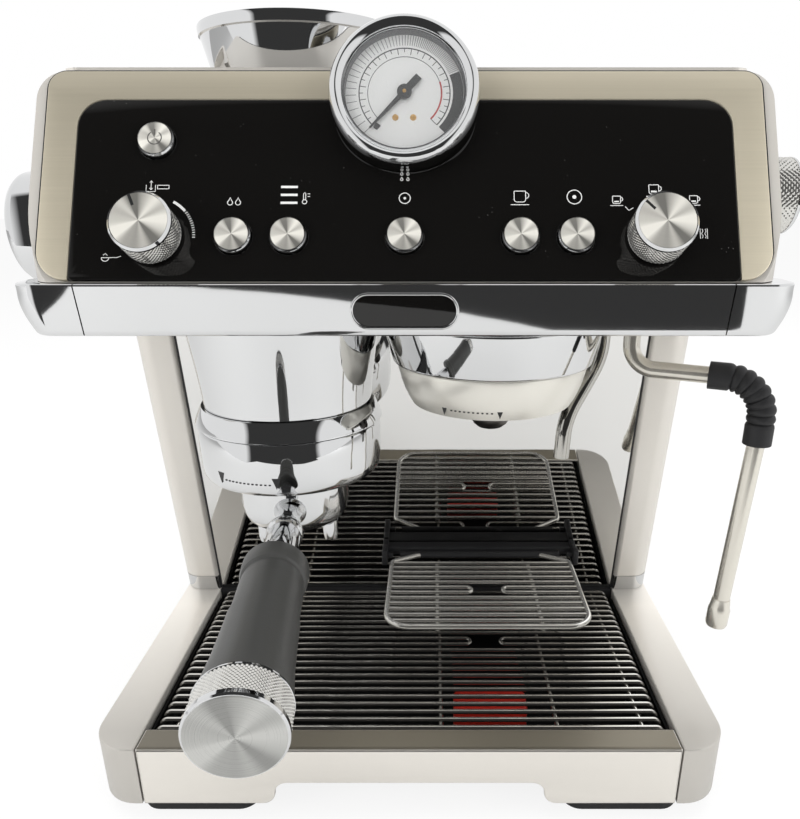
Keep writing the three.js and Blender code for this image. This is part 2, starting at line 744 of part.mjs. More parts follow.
/** The lip band from above, inside its face by an inset: its corners stand out and fade backwards. */
function lipPlan(inset) {
  const out = half + lipFlare - inset;
  const r = cornerRadius + lipFlare - inset;
  const y = panelFootY - lipProud + inset;
  const back = panelFootY + lipReach;
  const shape = new THREE.Shape();
  shape.moveTo(-half - seam, back + 1);
  shape.lineTo(-out, y + r);
  shape.absarc(-out + r, y + r, r, Math.PI, 1.5 * Math.PI, false);
  shape.absarc(out - r, y + r, r, -Math.PI / 2, 0, false);
  shape.lineTo(half + seam, back + 1);
  return shape;
}

/** What the lip leaves free behind it, for its own hollow and, with a gap, for the head's nose. */
function lipCore(gap) {
  const wall = lipWall + lipTuck + gap;
  const x = half - lipWall - gap;
  const y = panelFootY - lipProud + wall;
  const r = cornerRadius - lipWall;
  return plate(roundedRect(-x, x, y, rear, [r, r, 0, 0]), headBottom - 1, headTop, 0, 8);
}

function buildLip() {
  const faceY = panelFootY - lipProud;
  const height = lipHeight - seam;
  const geometry = new THREE.ExtrudeGeometry(lipPlan(0), {
    depth: height, steps: 3, bevelEnabled: false, curveSegments: 7 });
  // The band is fullest at two thirds of its height and tucks in above and, more, below.
  const fullness = (z) => Math.sin(Math.min(1, 0.15 + z / height) * 0.62 * Math.PI);
  const leaning = toSolid(geometry).warp((v) => {
    const beyond = Math.max(0, Math.abs(v[0]) - lipSeamX) / (half + lipFlare - lipSeamX);
    v[0] -= Math.sign(v[0]) * beyond * lipFlare * (1 - fullness(v[2]));
    if (v[1] < panelFootY + cornerRadius) v[1] += (lipTuck * (height - v[2])) / height;
  }).translate([0, 0, headBottom]);
  const reach = block(-bodyWidth, bodyWidth, front, panelFootY + lipReach, 0, headTop);
  const top = headBottom + height;
  const score = [[faceY - 1, top], [faceY + 0.8, top], [faceY + lipTuck + 0.8, headBottom],
    [faceY + lipTuck - 1, headBottom]];
  const grooves = [-1, 1].map((side) => sideways(score, side * lipSeamX - 0.35, side * lipSeamX + 0.35));
  addPiece('lip', cut(leaning.intersect(reach), lipCore(0), ...grooves), CHROME);
}

function buttonPlaces() {
  const row = buttonX.map((x, i) => [`button_${i + 1}`, x, buttonRow, false]);
  return [...row, ['button_power', powerX, powerRow, false]];
}

function knobPlaces() {
  return [['knob_left', -knobX, buttonRow, true], ['knob_right', knobX, buttonRow, true]];
}

function buildControls() {
  for (const [name, x, y] of buttonPlaces()) {
    const r = buttonRadius;
    const top = buttonProud;
    const profile = [[0, -5], [r, -5], [r, top - 0.8], [r - 0.8, top], [0, top]];
    addPiece(name, ontoPanel(turned(profile, smallRound).translate([x, y, 0])), ALUMINIUM);
  }
  for (const [name, x, y] of knobPlaces()) {
    const r = knobRadius;
    const base = seam;
    const top = base + knobLength;
    const profile = [
      [0, -stemLength], [stemRadius, -stemLength], [stemRadius, base], [r - 1, base], [r, base + 1],
      [r, top - 2], [r - 1.4, top], [0, top],
    ];
    addPiece(name, ontoPanel(turned(profile).translate([x, y, 0])), ALUMINIUM);
  }
}

function buildGauge() {
  const r = gaugeRadius;
  const rim = gaugeProud - gaugeLift;
  const seat = rim - dialDepth;
  const inner = dialRadius + seam;
  const bezel = turned([
    [0, 0], [r - 1.5, 0], [r, 1.5], [r, rim - 5], [r - 1, rim - 2], [r - 3, rim], [0, rim],
  ], gaugeRound);
  const cavity = turned([
    [0, seat - 1.6], [inner, seat - 1.6], [inner, rim - 1.6], [inner + 2, rim], [0, rim + 1],
  ], gaugeRound);
  // The neck is square to the panel; the rest of the gauge turns about the middle of its seat.
  const place = (solid) => ontoPanel(solid.rotate([gaugeTilt, 0, 0]).translate([0, gaugeRow, gaugeLift]));
  const neck = disc(gaugeNeck, -gaugeSunk, gaugeLift + 3);
  const cup = join(place(bezel), ontoPanel(neck.translate([0, gaugeRow, 0])));
  addPiece('gauge_bezel', cut(cup, place(cavity)), CHROME);
  const pivot = 1.4;
  addPiece('gauge_dial', place(turned([
    [0, seat - 1.3], [dialRadius, seat - 1.3], [dialRadius, seat], [pivot, seat], [pivot, seat + 0.6], [0, seat + 0.6],
  ])), DIAL);
  const needleShape = new THREE.Shape();
  needleShape.moveTo(-0.5, 23);
  needleShape.lineTo(-1.2, 4);
  needleShape.absarc(0, 0, 4.2, 110 * DEG, 245 * DEG, false);
  needleShape.lineTo(-1.7, -11);
  needleShape.lineTo(1.7, -11);
  needleShape.absarc(0, 0, 4.2, 295 * DEG, 430 * DEG, false);
  needleShape.lineTo(1.2, 4);
  needleShape.lineTo(0.5, 23);
  const needle = plate(needleShape, seat + 0.9, seat + 2, 0, 3).rotate([0, 0, -needleRest]);
  addPiece('gauge_needle', place(needle), DARK);
  const glassZ = rim - glassDepth;
  addPiece('gauge_glass', place(turned([
    [0, glassZ - 0.6], [dialRadius, glassZ - 0.6], [dialRadius, glassZ + 0.6], [0, glassZ + 1],
  ])), CLEAR);
}

// ---------------------------------------------------------------- tamping station

function buildStation() {
  const place = (solid) => solid.translate([stationX, workY, 0]);
  const top = headBottom - seam;
  const sleeve = turnedRing([
    [stationBore, bandTop + seam], [stationWaist, bandTop + seam], [stationWaist + 0.6, bandTop + 6],
    [(stationWaist + stationTop) / 2, (bandTop + top) / 2], [stationTop, top], [stationBore, top],
  ]);
  addPiece('station_sleeve', cut(place(sleeve), behindBack()), CHROME);
  const r = bandRadius;
  const band = turnedRing([
    [stationBore, collarTop + seam], [r - 1, collarTop + seam], [r, collarTop + 1.5], [r, bandTop - 1.5],
    [r - 1, bandTop], [stationBore, bandTop],
  ]);
  addPiece('station_band', cut(place(band), behindBack()), CHROME);
  // The bayonet collar: wide inside, with a mouth that the lugs of the filter holder pass through.
  const c = collarRadius;
  const shelfTop = collarBottom + collarShelf;
  const collar = turnedRing([
    [mouthBore, collarBottom], [c - 5, collarBottom], [c - 2, collarBottom + 2], [c - 0.8, collarBottom + 7],
    [c, collarTop - 8], [c, collarTop - 2], [c - 1, collarTop], [stationBore, collarTop],
    [stationBore, shelfTop], [mouthBore, shelfTop],
  ]);
  const entry = [0, 180].map((turn) => {
    const reach = bowlRadius + lugReach + runGap;
    const notch = block(0, reach, -lugWidth / 2 - 1, lugWidth / 2 + 1, collarBottom - 1, shelfTop + 1);
    return place(notch.rotate([0, 0, turn + lugAngle - lugTurn + handleYaw]));
  });
  addPiece('station_collar', cut(place(collar), ...entry, behindBack()), CHROME);
  const rodTop = headBottom + tamperGuide;
  const tamper = turned([
    [0, tamperRest - 8], [tamperRadius, tamperRest - 8], [tamperRadius, tamperRest - 3],
    [tamperRadius - 4, tamperRest], [tamperStem, tamperRest + 4], [tamperStem, rodTop],
    [0, rodTop],
  ]);
  addPiece('tamper', place(tamper), ALUMINIUM);
}

function buildLever() {
  const hubX = -half - seam;
  const profile = [
    [0, 0], [leverHubRadius, 0], [leverHubRadius, leverReach - 6], [leverHubRadius - 3, leverReach - 2],
    [leverHubRadius - 8, leverReach], [0, leverReach],
  ];
  const hub = alongX(turned(profile), -1, hubX, leverY, leverZ);
  const armShape = roundedRect(-leverWidth / 2, leverArm, -leverWidth / 2, leverWidth / 2, leverWidth / 2 - 1);
  const arm = plate(armShape, 0, leverWall, 0.8, 4)
    .rotate([90, 0, 90])
    .rotate([-leverDroop, 0, 0])
    .translate([hubX - leverReach + 4, leverY, leverZ]);
  addPiece('lever_arm', join(hub, arm), CHROME);
  const gripShape = roundedRect(-leverGripLength / 2, leverGripLength / 2, -leverWidth / 2 - 3, leverWidth / 2 + 3, 6);
  const gripSolid = plate(gripShape, 0, leverWall + 7, 2, 4);
  const pocket = block(-leverGripLength, leverGripLength / 2 - 6, -leverWidth / 2 - seam, leverWidth / 2 + seam,
    3.5 - seam, 3.5 + leverWall + seam);
  const gripCentre = leverArm - leverGripLength / 2 + 6 + seam;
  const grip = cut(gripSolid, pocket)
    .translate([gripCentre, 0, -3.5])
    .rotate([90, 0, 90])
    .rotate([-leverDroop, 0, 0])
    .translate([hubX - leverReach + 4, leverY, leverZ]);
  addPiece('lever_grip', grip, CHARCOAL);
}

// ---------------------------------------------------------------- brew group and hot water

function buildGroup() {
  const top = headBottom - seam;
  const rearY = backY(shroudBottom) + backPanelInset;
  const r = shroudRadius;
  const plan = new THREE.Shape();
  plan.moveTo(-r, rearY - workY);
  plan.lineTo(-r, 0);
  plan.absarc(0, 0, r, Math.PI, 2 * Math.PI, false);
  plan.lineTo(r, rearY - workY);
  const shroud = plate(plan, shroudBottom, top, 0.8, 12).translate([groupX, workY, 0]);
  const well = disc(groupBore, shroudBottom - 1, shroudBottom + 12).translate([groupX, workY, 0]);
  addPiece('group_shroud', cut(shroud, well, behindBack()), CHROME);
  const ring = turnedRing([
    [groupBore, ringBottom], [groupRingFoot - 1, ringBottom], [groupRingFoot, ringBottom + 1],
    [groupRingFoot + 3, ringBottom + 6], [groupRingTop, shroudBottom - seam - 1],
    [groupRingTop - 1, shroudBottom - seam], [groupBore, shroudBottom - seam],
  ]);
  addPiece('group_ring', cut(ring.translate([groupX, workY, 0]), behindBack()), SATIN);
  const s = screenRadius;
  const plug = shroudBottom + 12 - seam;
  const screen = turned([
    [0, ringBottom - screenDrop], [7, ringBottom - screenDrop + 1], [11, ringBottom - screenDrop + 5],
    [13, ringBottom], [14, ringBottom + 6], [s, ringBottom + 10], [s, ringBottom + 14], [20, ringBottom + 16],
    [20, plug], [0, plug],
  ]);
  addPiece('shower_screen', screen.translate([groupX, workY, 0]), DARK);

  const path = smooth([
    [waterX, waterY, top],
    [waterX, waterY, top - 0.28 * waterDrop],
    [waterX - 0.35 * waterShift, waterY - 6, top - 0.5 * waterDrop],
    [waterX - waterShift, waterY - 12, top - 0.78 * waterDrop],
    [waterX - waterShift - 1, waterY - 12, top - waterDrop],
  ], 10);
  addPiece('water_spout', rod(path, waterRadius, 8), CHROME);
}

// ---------------------------------------------------------------- filter holder

function buildFilterHolder() {
  const holder = new THREE.Group();
  holder.position.set(stationX, workY, bowlTop);
  holder.rotation.z = handleYaw * DEG;
  machine.add(holder);
  const r = bowlRadius;
  const bore = r - bowlWall;
  const floor = -bowlDepth;
  const cup = turned([
    [0, floor], [r - 7, floor], [r - 2, floor + 3], [r, floor + 9], [r, 0], [bore, 0], [bore, floor + 11],
    [bore - 5, floor + 6], [0, floor + 5],
  ]);
  const lugFoot = lugTop - lugHeight - bowlTop;
  const lug = block(r - 1, r + lugReach, -lugWidth / 2, lugWidth / 2, lugFoot, lugFoot + lugHeight)
    .intersect(disc(r + lugReach, -10, 0));
  const lugs = [0, 180].map((turn) => lug.rotate([0, 0, turn + lugAngle]));
  const axisZ = -handleDrop;
  // Turned about the handle's own axis and laid forward.
  const neck = turned([
    [0, r - 3], [neckRadius + 3, r - 3], [neckRadius, r + 5], [neckRadius, r + 16], [ferruleRadius, r + 21],
    [ferruleRadius + 0.8, r + 23], [ferruleRadius, r + 26], [ferruleRadius - 1, gripStart - seam],
    [5, gripStart - seam], [5, gripEnd - 20], [0, gripEnd - 20],
  ], smallRound).rotate([90 + handleSlope, 0, 0]).translate([0, 0, axisZ]);
  const bridge = roundedRect(-spoutSpread - 4, spoutSpread + 4, -6, 6, 5);
  const spoutBlock = plate(bridge, floor - 7, floor + 1, 0, 3);
  const nozzles = [-1, 1].map((side) => cut(
    turned([[0, floor - spoutDrop], [spoutRadius - 1, floor - spoutDrop], [spoutRadius, floor - spoutDrop + 2],
      [spoutRadius + 1, floor - 5], [0, floor - 5]], smallRound),
    disc(spoutRadius - 2, floor - spoutDrop - 1, floor - spoutDrop + 6, smallRound),
  ).translate([side * spoutSpread, 0, 0]));
  addPiece('portafilter', join(cup, ...lugs, neck, spoutBlock, ...nozzles), CHROME, holder);

  const b = basketRadius;
  const basket = turned([
    [0, -basketDepth], [b - 2, -basketDepth], [b, -basketDepth + 2], [b, seam], [bore + 1.6, seam], [bore + 1.6, 1.3],
    [b - 1.2, 1.3], [b - 1.2, -basketDepth + 2.4], [b - 3, -basketDepth + 1.2], [0, -basketDepth + 1.2],
  ]);
  addPiece('filter_basket', basket, ALUMINIUM, holder);

  const gripLength = gripEnd - gripStart;
  const grip = turnedRing([
    [5 + seam, gripStart], [gripRadiusIn - 2.4, gripStart], [gripRadiusIn, gripStart + 4],
    [gripRadiusIn, gripStart + 12], [gripRadiusIn - 1.6, gripStart + 14.5],
    [gripRadiusMid, gripStart + 0.3 * gripLength], [gripRadiusMid + 0.8, gripStart + 0.62 * gripLength],
    [gripRadiusOut, gripEnd - 3], [gripRadiusOut, gripEnd], [5 + seam, gripEnd],
  ], 16).rotate([90 + handleSlope, 0, 0]).translate([0, 0, axisZ]);
  addPiece('portafilter_grip', grip, CHARCOAL, holder);

  const e = gripEnd + seam;
  const cap = turned([
    [0, e - 18], [5, e - 18], [5, e], [capRadius - 1, e], [capRadius, e + 1], [capRadius, handleEnd - 2],
    [capRadius - 2, handleEnd], [0, handleEnd],
  ], 18).rotate([90 + handleSlope, 0, 0]).translate([0, 0, axisZ]);
  addPiece('portafilter_cap', cap, ALUMINIUM, holder);
}

// ---------------------------------------------------------------- steam wand and its knob

function buildSteam() {
  const top = headBottom - seam;
  const lean = wandForward / wandReach;
  const along = (reach, z) => [wandX + reach, wandY - reach * lean, z];
  const socket = turned([
    [0, top], [ballRadius + 3, top], [ballRadius + 3, top - 3], [ballRadius, top - 8], [0, top - 8],
  ].reverse(), smallRound);
  addPiece('steam_socket', socket.translate([wandX, wandY, 0]), CHROME);

  const pipe = smooth([
    [wandX, wandY, top - 8 - seam],
    [wandX, wandY, wandLevel + 12],
    along(1.5, wandLevel + 6),
    along(6, wandLevel + 1.5),
    along(13, wandLevel),
    along(wandSleeveStart - 6, wandLevel),
    along(wandSleeveStart + 4, wandLevel),
  ], 12);
  addPiece('wand_pipe', rod(pipe, wandRadius, 10), CHROME);

  const hang = [wandX + wandReach, wandY - wandForward];
  const bend = smooth([
    along(wandSleeveStart, wandLevel),
    along(wandReach - 14, wandLevel - 1),
    along(wandReach - 3, wandLevel - 11),
    [hang[0], hang[1], wandSleeveEnd + 5],
    [hang[0], hang[1], wandSleeveEnd],
  ], 9);
  const core = smooth([
    along(wandSleeveStart - 3, wandLevel),
    along(wandSleeveStart + 2, wandLevel),
    along(wandSleeveStart + 4.6, wandLevel),
  ], 2);
  const sleeve = cut(rod(bend, sleeveRadius, 10), rod(core, wandRadius + seam, 10));
  addPiece('wand_sleeve', sleeve, RUBBER);

  const tubeTop = wandSleeveEnd - runGap;
  const fall = (z) => hang[0] - (wandCant * (tubeTop - z)) / (tubeTop - wandTip);
  const tube = rod([[hang[0], hang[1], tubeTop], [fall(wandTip + nozzleLength), hang[1], wandTip + nozzleLength]],
    wandRadius, smallRound);
  const tilt = Math.atan2(wandCant, tubeTop - wandTip) / DEG;
  const n = nozzleRadius;
  const nozzle = turned([
    [0, 0], [n - 1.6, 0], [n, 2.5], [n - 0.2, 10], [wandRadius, nozzleLength + 1], [0, nozzleLength + 1],
  ], smallRound).rotate([0, tilt, 0]).translate([fall(wandTip), hang[1], wandTip]);
  addPiece('wand_tube', join(tube, nozzle), CHROME);

  const r = steamRadius;
  const knob = turned([
    [0, -steamStemLength], [steamStem, -steamStemLength], [steamStem, 0], [r - 1, 0], [r, 1.2],
    [r, steamReach - 2], [r - 1.6, steamReach], [0, steamReach],
  ]);
  addPiece('steam_knob', alongX(knob, 1, half + seam, steamY, steamZ), ALUMINIUM);
}

// ---------------------------------------------------------------- folding cup shelf

function buildShelf() {
  const hingeY = shelfBack + hingeBehind;
  const x0 = shelfCentre - shelfHalf;
  const x1 = shelfCentre + shelfHalf;
  const z = shelfZ;
  const r = shelfCorner;
  const corner = (x, y, from, to) => arcPoints([x, y, z], r, AXIS_X, AXIS_Y, from, to, 3);
  const loop = [
    [x0 + shelfLegIn, hingeY, z], [x0, shelfBack, z],
    ...corner(x0 + r, shelfFront + r, 180, 270),
    ...corner(x1 - r, shelfFront + r, 270, 360),
    [x1, shelfBack, z], [x1 - shelfLegIn, hingeY, z],
  ];
  const wires = [rod(loop, shelfWire, 5)];
  const pitch = (shelfBack - shelfFront - shelfWire) / shelfWires;
  const slotIndex = Math.round(shelfWires / 2);
  for (let i = 1; i <= shelfWires; i += 1) {
    const y = shelfFront + i * pitch;
    const inward = i === 1 ? 7 : 0;
    const ends = [x0 + inward, x1 - inward];
    const open = i === slotIndex || i === slotIndex + 1;
    const spans = open
      ? [[ends[0], slotCentre - slotWidth / 2 - pitch / 2], [slotCentre + slotWidth / 2 + pitch / 2, ends[1]]]
      : [ends];
    for (const [a, b] of spans) wires.push(rod([[a, y, z], [b, y, z]], wireRadius * 0.9, wireSides));
  }
  const slotY = shelfFront + (slotIndex + 0.5) * pitch;
  for (const side of [-1, 1]) {
    const centre = [slotCentre + side * (slotWidth / 2 + pitch / 2), slotY, z];
    const towards = [-side, 0, 0];
    const bend = arcPoints(centre, pitch / 2, towards, AXIS_Y, -QUARTER, QUARTER, 4);
    wires.push(rod(bend, wireRadius * 0.9, wireSides));
  }
  for (const dx of shelfCarrier) {
    const x = shelfCentre + dx;
    const low = z - weldDrop;
    wires.push(rod([[x, shelfFront, low], [x, shelfBack, low]], wireRadius * 0.9, wireSides));
  }
  wires.push(rod([[x0 + bracketWidth, hingeY, z], [x1 - bracketWidth, hingeY, z]], hingeRadius, 8));
  addPiece('cup_shelf', join(...wires), CHROME);

  // The black carrier on the back panel: a bar with an ear at each end round the hinge pin.
  const wall = (height) => backY(height) + backPanelInset - seam;
  const low = z - carrierHalf;
  const high = z + carrierHalf;
  const barFront = hingeY + hingeRadius + runGap + 1;
  const bar = [[barFront, low], [wall(low), low], [wall(high), high], [barFront, high]];
  const body = sideways(bar, x0 - bracketGap - bracketWidth, x1 + bracketGap + bracketWidth);
  const ears = [-1, 1].map((side) => {
    const outer = side < 0 ? x0 - bracketGap - bracketWidth : x1 + bracketGap;
    const nose = hingeY - 2 * hingeRadius;
    const noseHalf = 2 * hingeRadius;
    return sideways([[nose, z - noseHalf], [barFront + 2, low + 1], [barFront + 2, high - 1], [nose, z + noseHalf]],
      outer, outer + bracketWidth);
  });
  const stubs = [-1, 1].map((side) => {
    const a = side < 0 ? x0 - bracketGap - 1 : x1 - bracketWidth + runGap;
    const b = side < 0 ? x0 + bracketWidth - runGap : x1 + bracketGap + 1;
    return block(a, b, hingeY - pinHalf, hingeY + pinHalf, z - pinHalf, z + pinHalf);
  });
  addPiece('shelf_carrier', join(body, ...ears, ...stubs), DARK);
}

// ---------------------------------------------------------------- top, hopper, grinder and tank

function buildTop() {
  const z0 = headTop + seam;
  const z1 = z0 + coverWall;
  const edge = panelTopY + 6;
  const outline = roundedRect(-frameHalf + 2, frameHalf - 2, edge, tankFront - runGap - 2, 8);
  const railY = panelTopY + railSetback;
  const railOuter = roundedRect(-frameHalf + 6, frameHalf - 6, railY, tankFront - 6, 10);
  const railInner = roundedRect(-frameHalf + 6 + railWidth, frameHalf - 6 - railWidth, railY + railWidth,
    tankFront - 6 - railWidth, 6);
  const rail = cut(plate(railOuter, z1 - 0.5, z1 + railHeight, 0, 3), plate(railInner, z0, z1 + 20, 0, 3));
  const hopperHole = disc(hopperRim + 2, z0 - 5, z1 + 20).translate([hopperX, hopperY, 0]);
  addPiece('top_cover', cut(join(plate(outline, z0, z1, 0, 4), rail), hopperHole), SATIN);

  const foot = headTop + seam;
  const rim = foot + hopperHeight;
  const w = hopperWall;
  const throat = burrRadius + 3;
  const hopper = turnedRing([
    [throat, foot], [hopperFoot, foot], [hopperRim - 1, rim - 4], [hopperRim, rim - 1], [hopperRim - 1, rim],
    [hopperRim - w, rim], [hopperRim - w, rim - 2 - lidThickness], [hopperRim - w - 2, rim - 2 - lidThickness],
    [hopperFoot - w, foot + 12], [throat, foot + 5],
  ]);
  addPiece('hopper', hopper.translate([hopperX, hopperY, 0]), CHROME);
  const lidZ = rim - 2 - lidThickness + seam;
  const lid = turned([
    [0, lidZ], [hopperRim - w - runGap, lidZ], [hopperRim - w - runGap, lidZ + lidThickness],
    [14, lidZ + lidThickness], [12, lidZ + lidThickness - 2], [0, lidZ + lidThickness - 2],
  ]);
  addPiece('hopper_lid', lid.translate([hopperX, hopperY, 0]), SMOKE);

  // A toothed cone: each tooth is one straight cut down the flank.
  const chamberFloor = headTop - chamberDepth;
  const coneZ = chamberFloor + seam;
  const cone = turned([
    [0, coneZ], [burrRadius, coneZ], [burrRadius, coneZ + 5], [8, coneZ + burrHeight], [0, coneZ + burrHeight],
  ], 16);
  const toothCount = 8;
  const teeth = [];
  for (let i = 0; i < toothCount; i += 1) {
    const groove = block(burrRadius * 0.45, burrRadius * 2, -1.4, 1.4, coneZ + 5, coneZ + burrHeight + 5);
    teeth.push(groove.rotate([0, 0, (360 * i) / toothCount]));
  }
  addPiece('grinder_cone', cut(cone, ...teeth).translate([hopperX, hopperY, 0]), ALUMINIUM);
}

function buildTank() {
  const z0 = baseTop + seam;
  const z1 = headTop - tankLidHeight - seam;
  const outer = roundedRect(-tankHalf, tankHalf, tankFront, rear, 8);
  const inner = roundedRect(-tankHalf + tankWall, tankHalf - tankWall, tankFront + tankWall, rear - tankWall, 6);
  addPiece('water_tank', cut(plate(outer, z0, z1, 0, 4), plate(inner, z0 + tankWall, z1 + 1, 0, 4)), SMOKE);
  const lidZ = headTop - tankLidHeight;
  const lid = join(
    plate(outer, lidZ, headTop, 0, 4),
    plate(roundedRect(-30, 30, (tankFront + rear) / 2 - 6, (tankFront + rear) / 2 + 6, 5), headTop - 1, headTop + 5, 1, 3),
  );
  addPiece('tank_lid', lid, DARK);
}

buildBase();
buildInlet();
buildTray();
buildBack();
buildHead();
buildLip();
buildControls();
buildGauge();
buildStation();
buildLever();
buildGroup();
buildFilterHolder();
buildSteam();
buildShelf();
buildTop();
buildTank();

// The origin goes under the middle of the whole machine, on the surface that it stands on.
machine.updateMatrixWorld(true);
const bounds = new THREE.Box3().setFromObject(machine, true);
const middle = bounds.getCenter(new THREE.Vector3());
machine.position.set(-middle.x, -middle.y, -bounds.min.z);

export default machine;
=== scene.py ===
"""Looks of a home espresso machine, built round its fixed frame.

Lengths are in metres with +Z up, and the front of the machine faces -Y. Each sub-assembly is a class
that holds its sizes, shapes its pieces as meshes and dresses them with procedural finishes. Places come
from the frame: the boxes of its nodes, the lean of its panels and the axes of its joints.
"""

import json
import logging
from dataclasses import dataclass, field, replace
from enum import Enum
from math import asin, atan2, copysign, cos, degrees, hypot, pi, radians, sin, sqrt, tan
from typing import Callable, ClassVar, Iterable, Optional, Sequence, Union

import bmesh
import bpy
from mathutils import Matrix, Vector
from mathutils.geometry import tessellate_polygon


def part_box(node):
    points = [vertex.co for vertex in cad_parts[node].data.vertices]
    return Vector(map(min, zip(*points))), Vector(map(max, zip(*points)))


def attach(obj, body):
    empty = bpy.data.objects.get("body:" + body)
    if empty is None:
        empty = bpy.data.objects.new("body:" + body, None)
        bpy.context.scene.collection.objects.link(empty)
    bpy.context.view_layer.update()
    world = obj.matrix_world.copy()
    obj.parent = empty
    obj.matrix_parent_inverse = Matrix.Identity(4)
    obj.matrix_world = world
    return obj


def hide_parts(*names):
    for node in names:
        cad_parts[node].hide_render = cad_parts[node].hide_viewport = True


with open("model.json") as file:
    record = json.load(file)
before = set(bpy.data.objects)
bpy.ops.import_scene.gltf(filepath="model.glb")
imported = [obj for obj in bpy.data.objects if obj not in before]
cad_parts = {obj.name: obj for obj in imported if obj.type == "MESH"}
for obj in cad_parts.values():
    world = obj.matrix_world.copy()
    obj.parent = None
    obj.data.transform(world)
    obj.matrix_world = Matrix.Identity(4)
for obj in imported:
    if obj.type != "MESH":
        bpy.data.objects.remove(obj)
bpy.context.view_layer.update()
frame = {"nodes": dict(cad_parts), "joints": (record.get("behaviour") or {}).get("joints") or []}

LOG = logging.getLogger("espresso_machine")
SCENE = bpy.context.scene
MM = 0.001
QUARTER = pi / 2
SAME_POINT = 1e-7
FLAT_CORNER = 1e-3
Point2 = tuple[float, float]
Path3 = list[Vector]
Face = tuple[int, ...]
Color = tuple[float, float, float]
Points = list[Point2]
Loop = Sequence[Point2]
Cuts = Sequence[tuple[Vector, Vector]]
Socket = bpy.types.NodeSocket
Node = bpy.types.Node
Number = Union["Value", float]
Radii = Union[float, Sequence[float]]
RIGHT = Vector((1.0, 0.0, 0.0))
BACK = Vector((0.0, 1.0, 0.0))
UP = Vector((0.0, 0.0, 1.0))


# ---- bodies and the frame


BODY_NAMES = ("machine", "drip_tray", "drip_grille", "tray_full_float", "grind_knob", "function_knob",
              "pressure_needle", "tamp_lever", "filter_holder", "steam_wand", "steam_tap", "folding_shelf",
              "bean_lid", "key_1", "key_2", "key_3", "key_4", "key_5", "power_key")
Body = Enum("Body", {name.upper(): name for name in BODY_NAMES})


def points_of(node: str) -> Path3:
    """The corner points of a frame node at rest."""
    return [vertex.co.copy() for vertex in frame["nodes"][node].data.vertices]


def joint(name: str) -> dict:
    """The frame's joint of that name."""
    return next(item for item in frame["joints"] if item["name"] == name)


@dataclass(frozen=True)
class Span:
    """The box of a frame node: its lowest and highest corners."""

    low: Vector
    high: Vector

    @classmethod
    def of(cls, node: str) -> "Span":
        """The box of one node at rest."""
        return cls(*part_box(node))

    @property
    def middle(self) -> Vector:
        """The centre of the box."""
        return (self.low + self.high) / 2

    @property
    def size(self) -> Vector:
        """The lengths of the box's sides."""
        return self.high - self.low

    @property
    def axis(self) -> Matrix:
        """The place of an upright axis through the middle, at the ground."""
        return Matrix.Translation((self.middle.x, self.middle.y, 0.0))

    def plan(self, radii: Radii) -> Points:
        """The box seen from above, with rounded corners."""
        return rectangle(self.low.x, self.high.x, self.low.y, self.high.y, radii)


def frame_at(origin: Vector, across: Vector, out: Vector) -> Matrix:
    """The placing matrix whose local X runs along across and whose local Z runs along out."""
    x, z = across.normalized(), out.normalized()
    return Matrix.Translation(origin) @ Matrix((x, z.cross(x), z)).transposed().to_4x4()


class PanelPlane:
    """The sloped control panel: x across, y up the slope from its foot, z out of it."""

    def __init__(self) -> None:
        """Finds the plane from the glass, the steel frame and the travel of a key."""
        self.out = -Vector(joint("press_key_3")["axis"]).normalized()
        self.across = RIGHT
        self.up = self.out.cross(self.across)
        glass = points_of("control_glass")
        rim = points_of("panel_frame")
        height = max(point.dot(self.out) for point in glass)
        foot = min(point.dot(self.up) for point in rim)
        centre = Span.of("panel_frame").middle.x
        self.origin = self.out * height + self.up * foot + self.across * centre
        self.half = Span.of("panel_frame").size.x / 2
        self.rise = max(point.dot(self.up) for point in rim) - foot
        self.glass_half = Span.of("control_glass").size.x / 2
        self.glass_rise = max(point.dot(self.up) for point in glass) - foot

    def place(self, x: float = 0.0, y: float = 0.0) -> Matrix:
        """The placing matrix of a piece at local x and y."""
        return frame_at(self.origin + self.across * x + self.up * y, self.across, self.out)

    def local(self, point: Vector) -> Vector:
        """A point of the machine in the panel's own directions."""
        offset = point - self.origin
        return Vector((offset.dot(self.across), offset.dot(self.up), offset.dot(self.out)))


class LeaningBack:
    """The leaning back panel: the height of a point tells how far back its face is."""

    def __init__(self) -> None:
        """Reads the foot and the top of the face from the back panel's corners."""
        points = points_of("back_panel")
        self.low = min(point.z for point in points)
        high = max(point.z for point in points)
        self.foot_y = min(point.y for point in points if point.z < self.low + MM)
        top_y = min(point.y for point in points if point.z > high - MM)
        self.slope = (top_y - self.foot_y) / (high - self.low)

    def face(self, z: float) -> float:
        """The Y of the face at a height."""
        return self.foot_y + self.slope * (z - self.low)

    def trim(self, z: float) -> list[tuple[Vector, Vector]]:
        """The cut that ends a piece in the panel, just behind its face at a height."""
        return [(Vector((0.0, self.face(z) - 0.3 * MM, z)), Vector((0.0, 1.0, -self.slope)).normalized())]


# ---- outlines and paths


def at_angle(centre: Point2, radius: float, angle: float) -> Point2:
    """The point of a circle at an angle in degrees."""
    turn = radians(angle)
    return centre[0] + radius * cos(turn), centre[1] + radius * sin(turn)


def arc(centre: Point2, radius: float, start: float, end: float, steps: int = 16) -> Points:
    """The steps + 1 points of a flat arc from one angle to another, in degrees."""
    return [at_angle(centre, radius, start + (end - start) * i / steps) for i in range(steps + 1)]


def circle(centre: Point2, radius: float, steps: int = 64) -> Points:
    """A closed ring of points, counter-clockwise."""
    return arc(centre, radius, 0, 360, steps)[:-1]


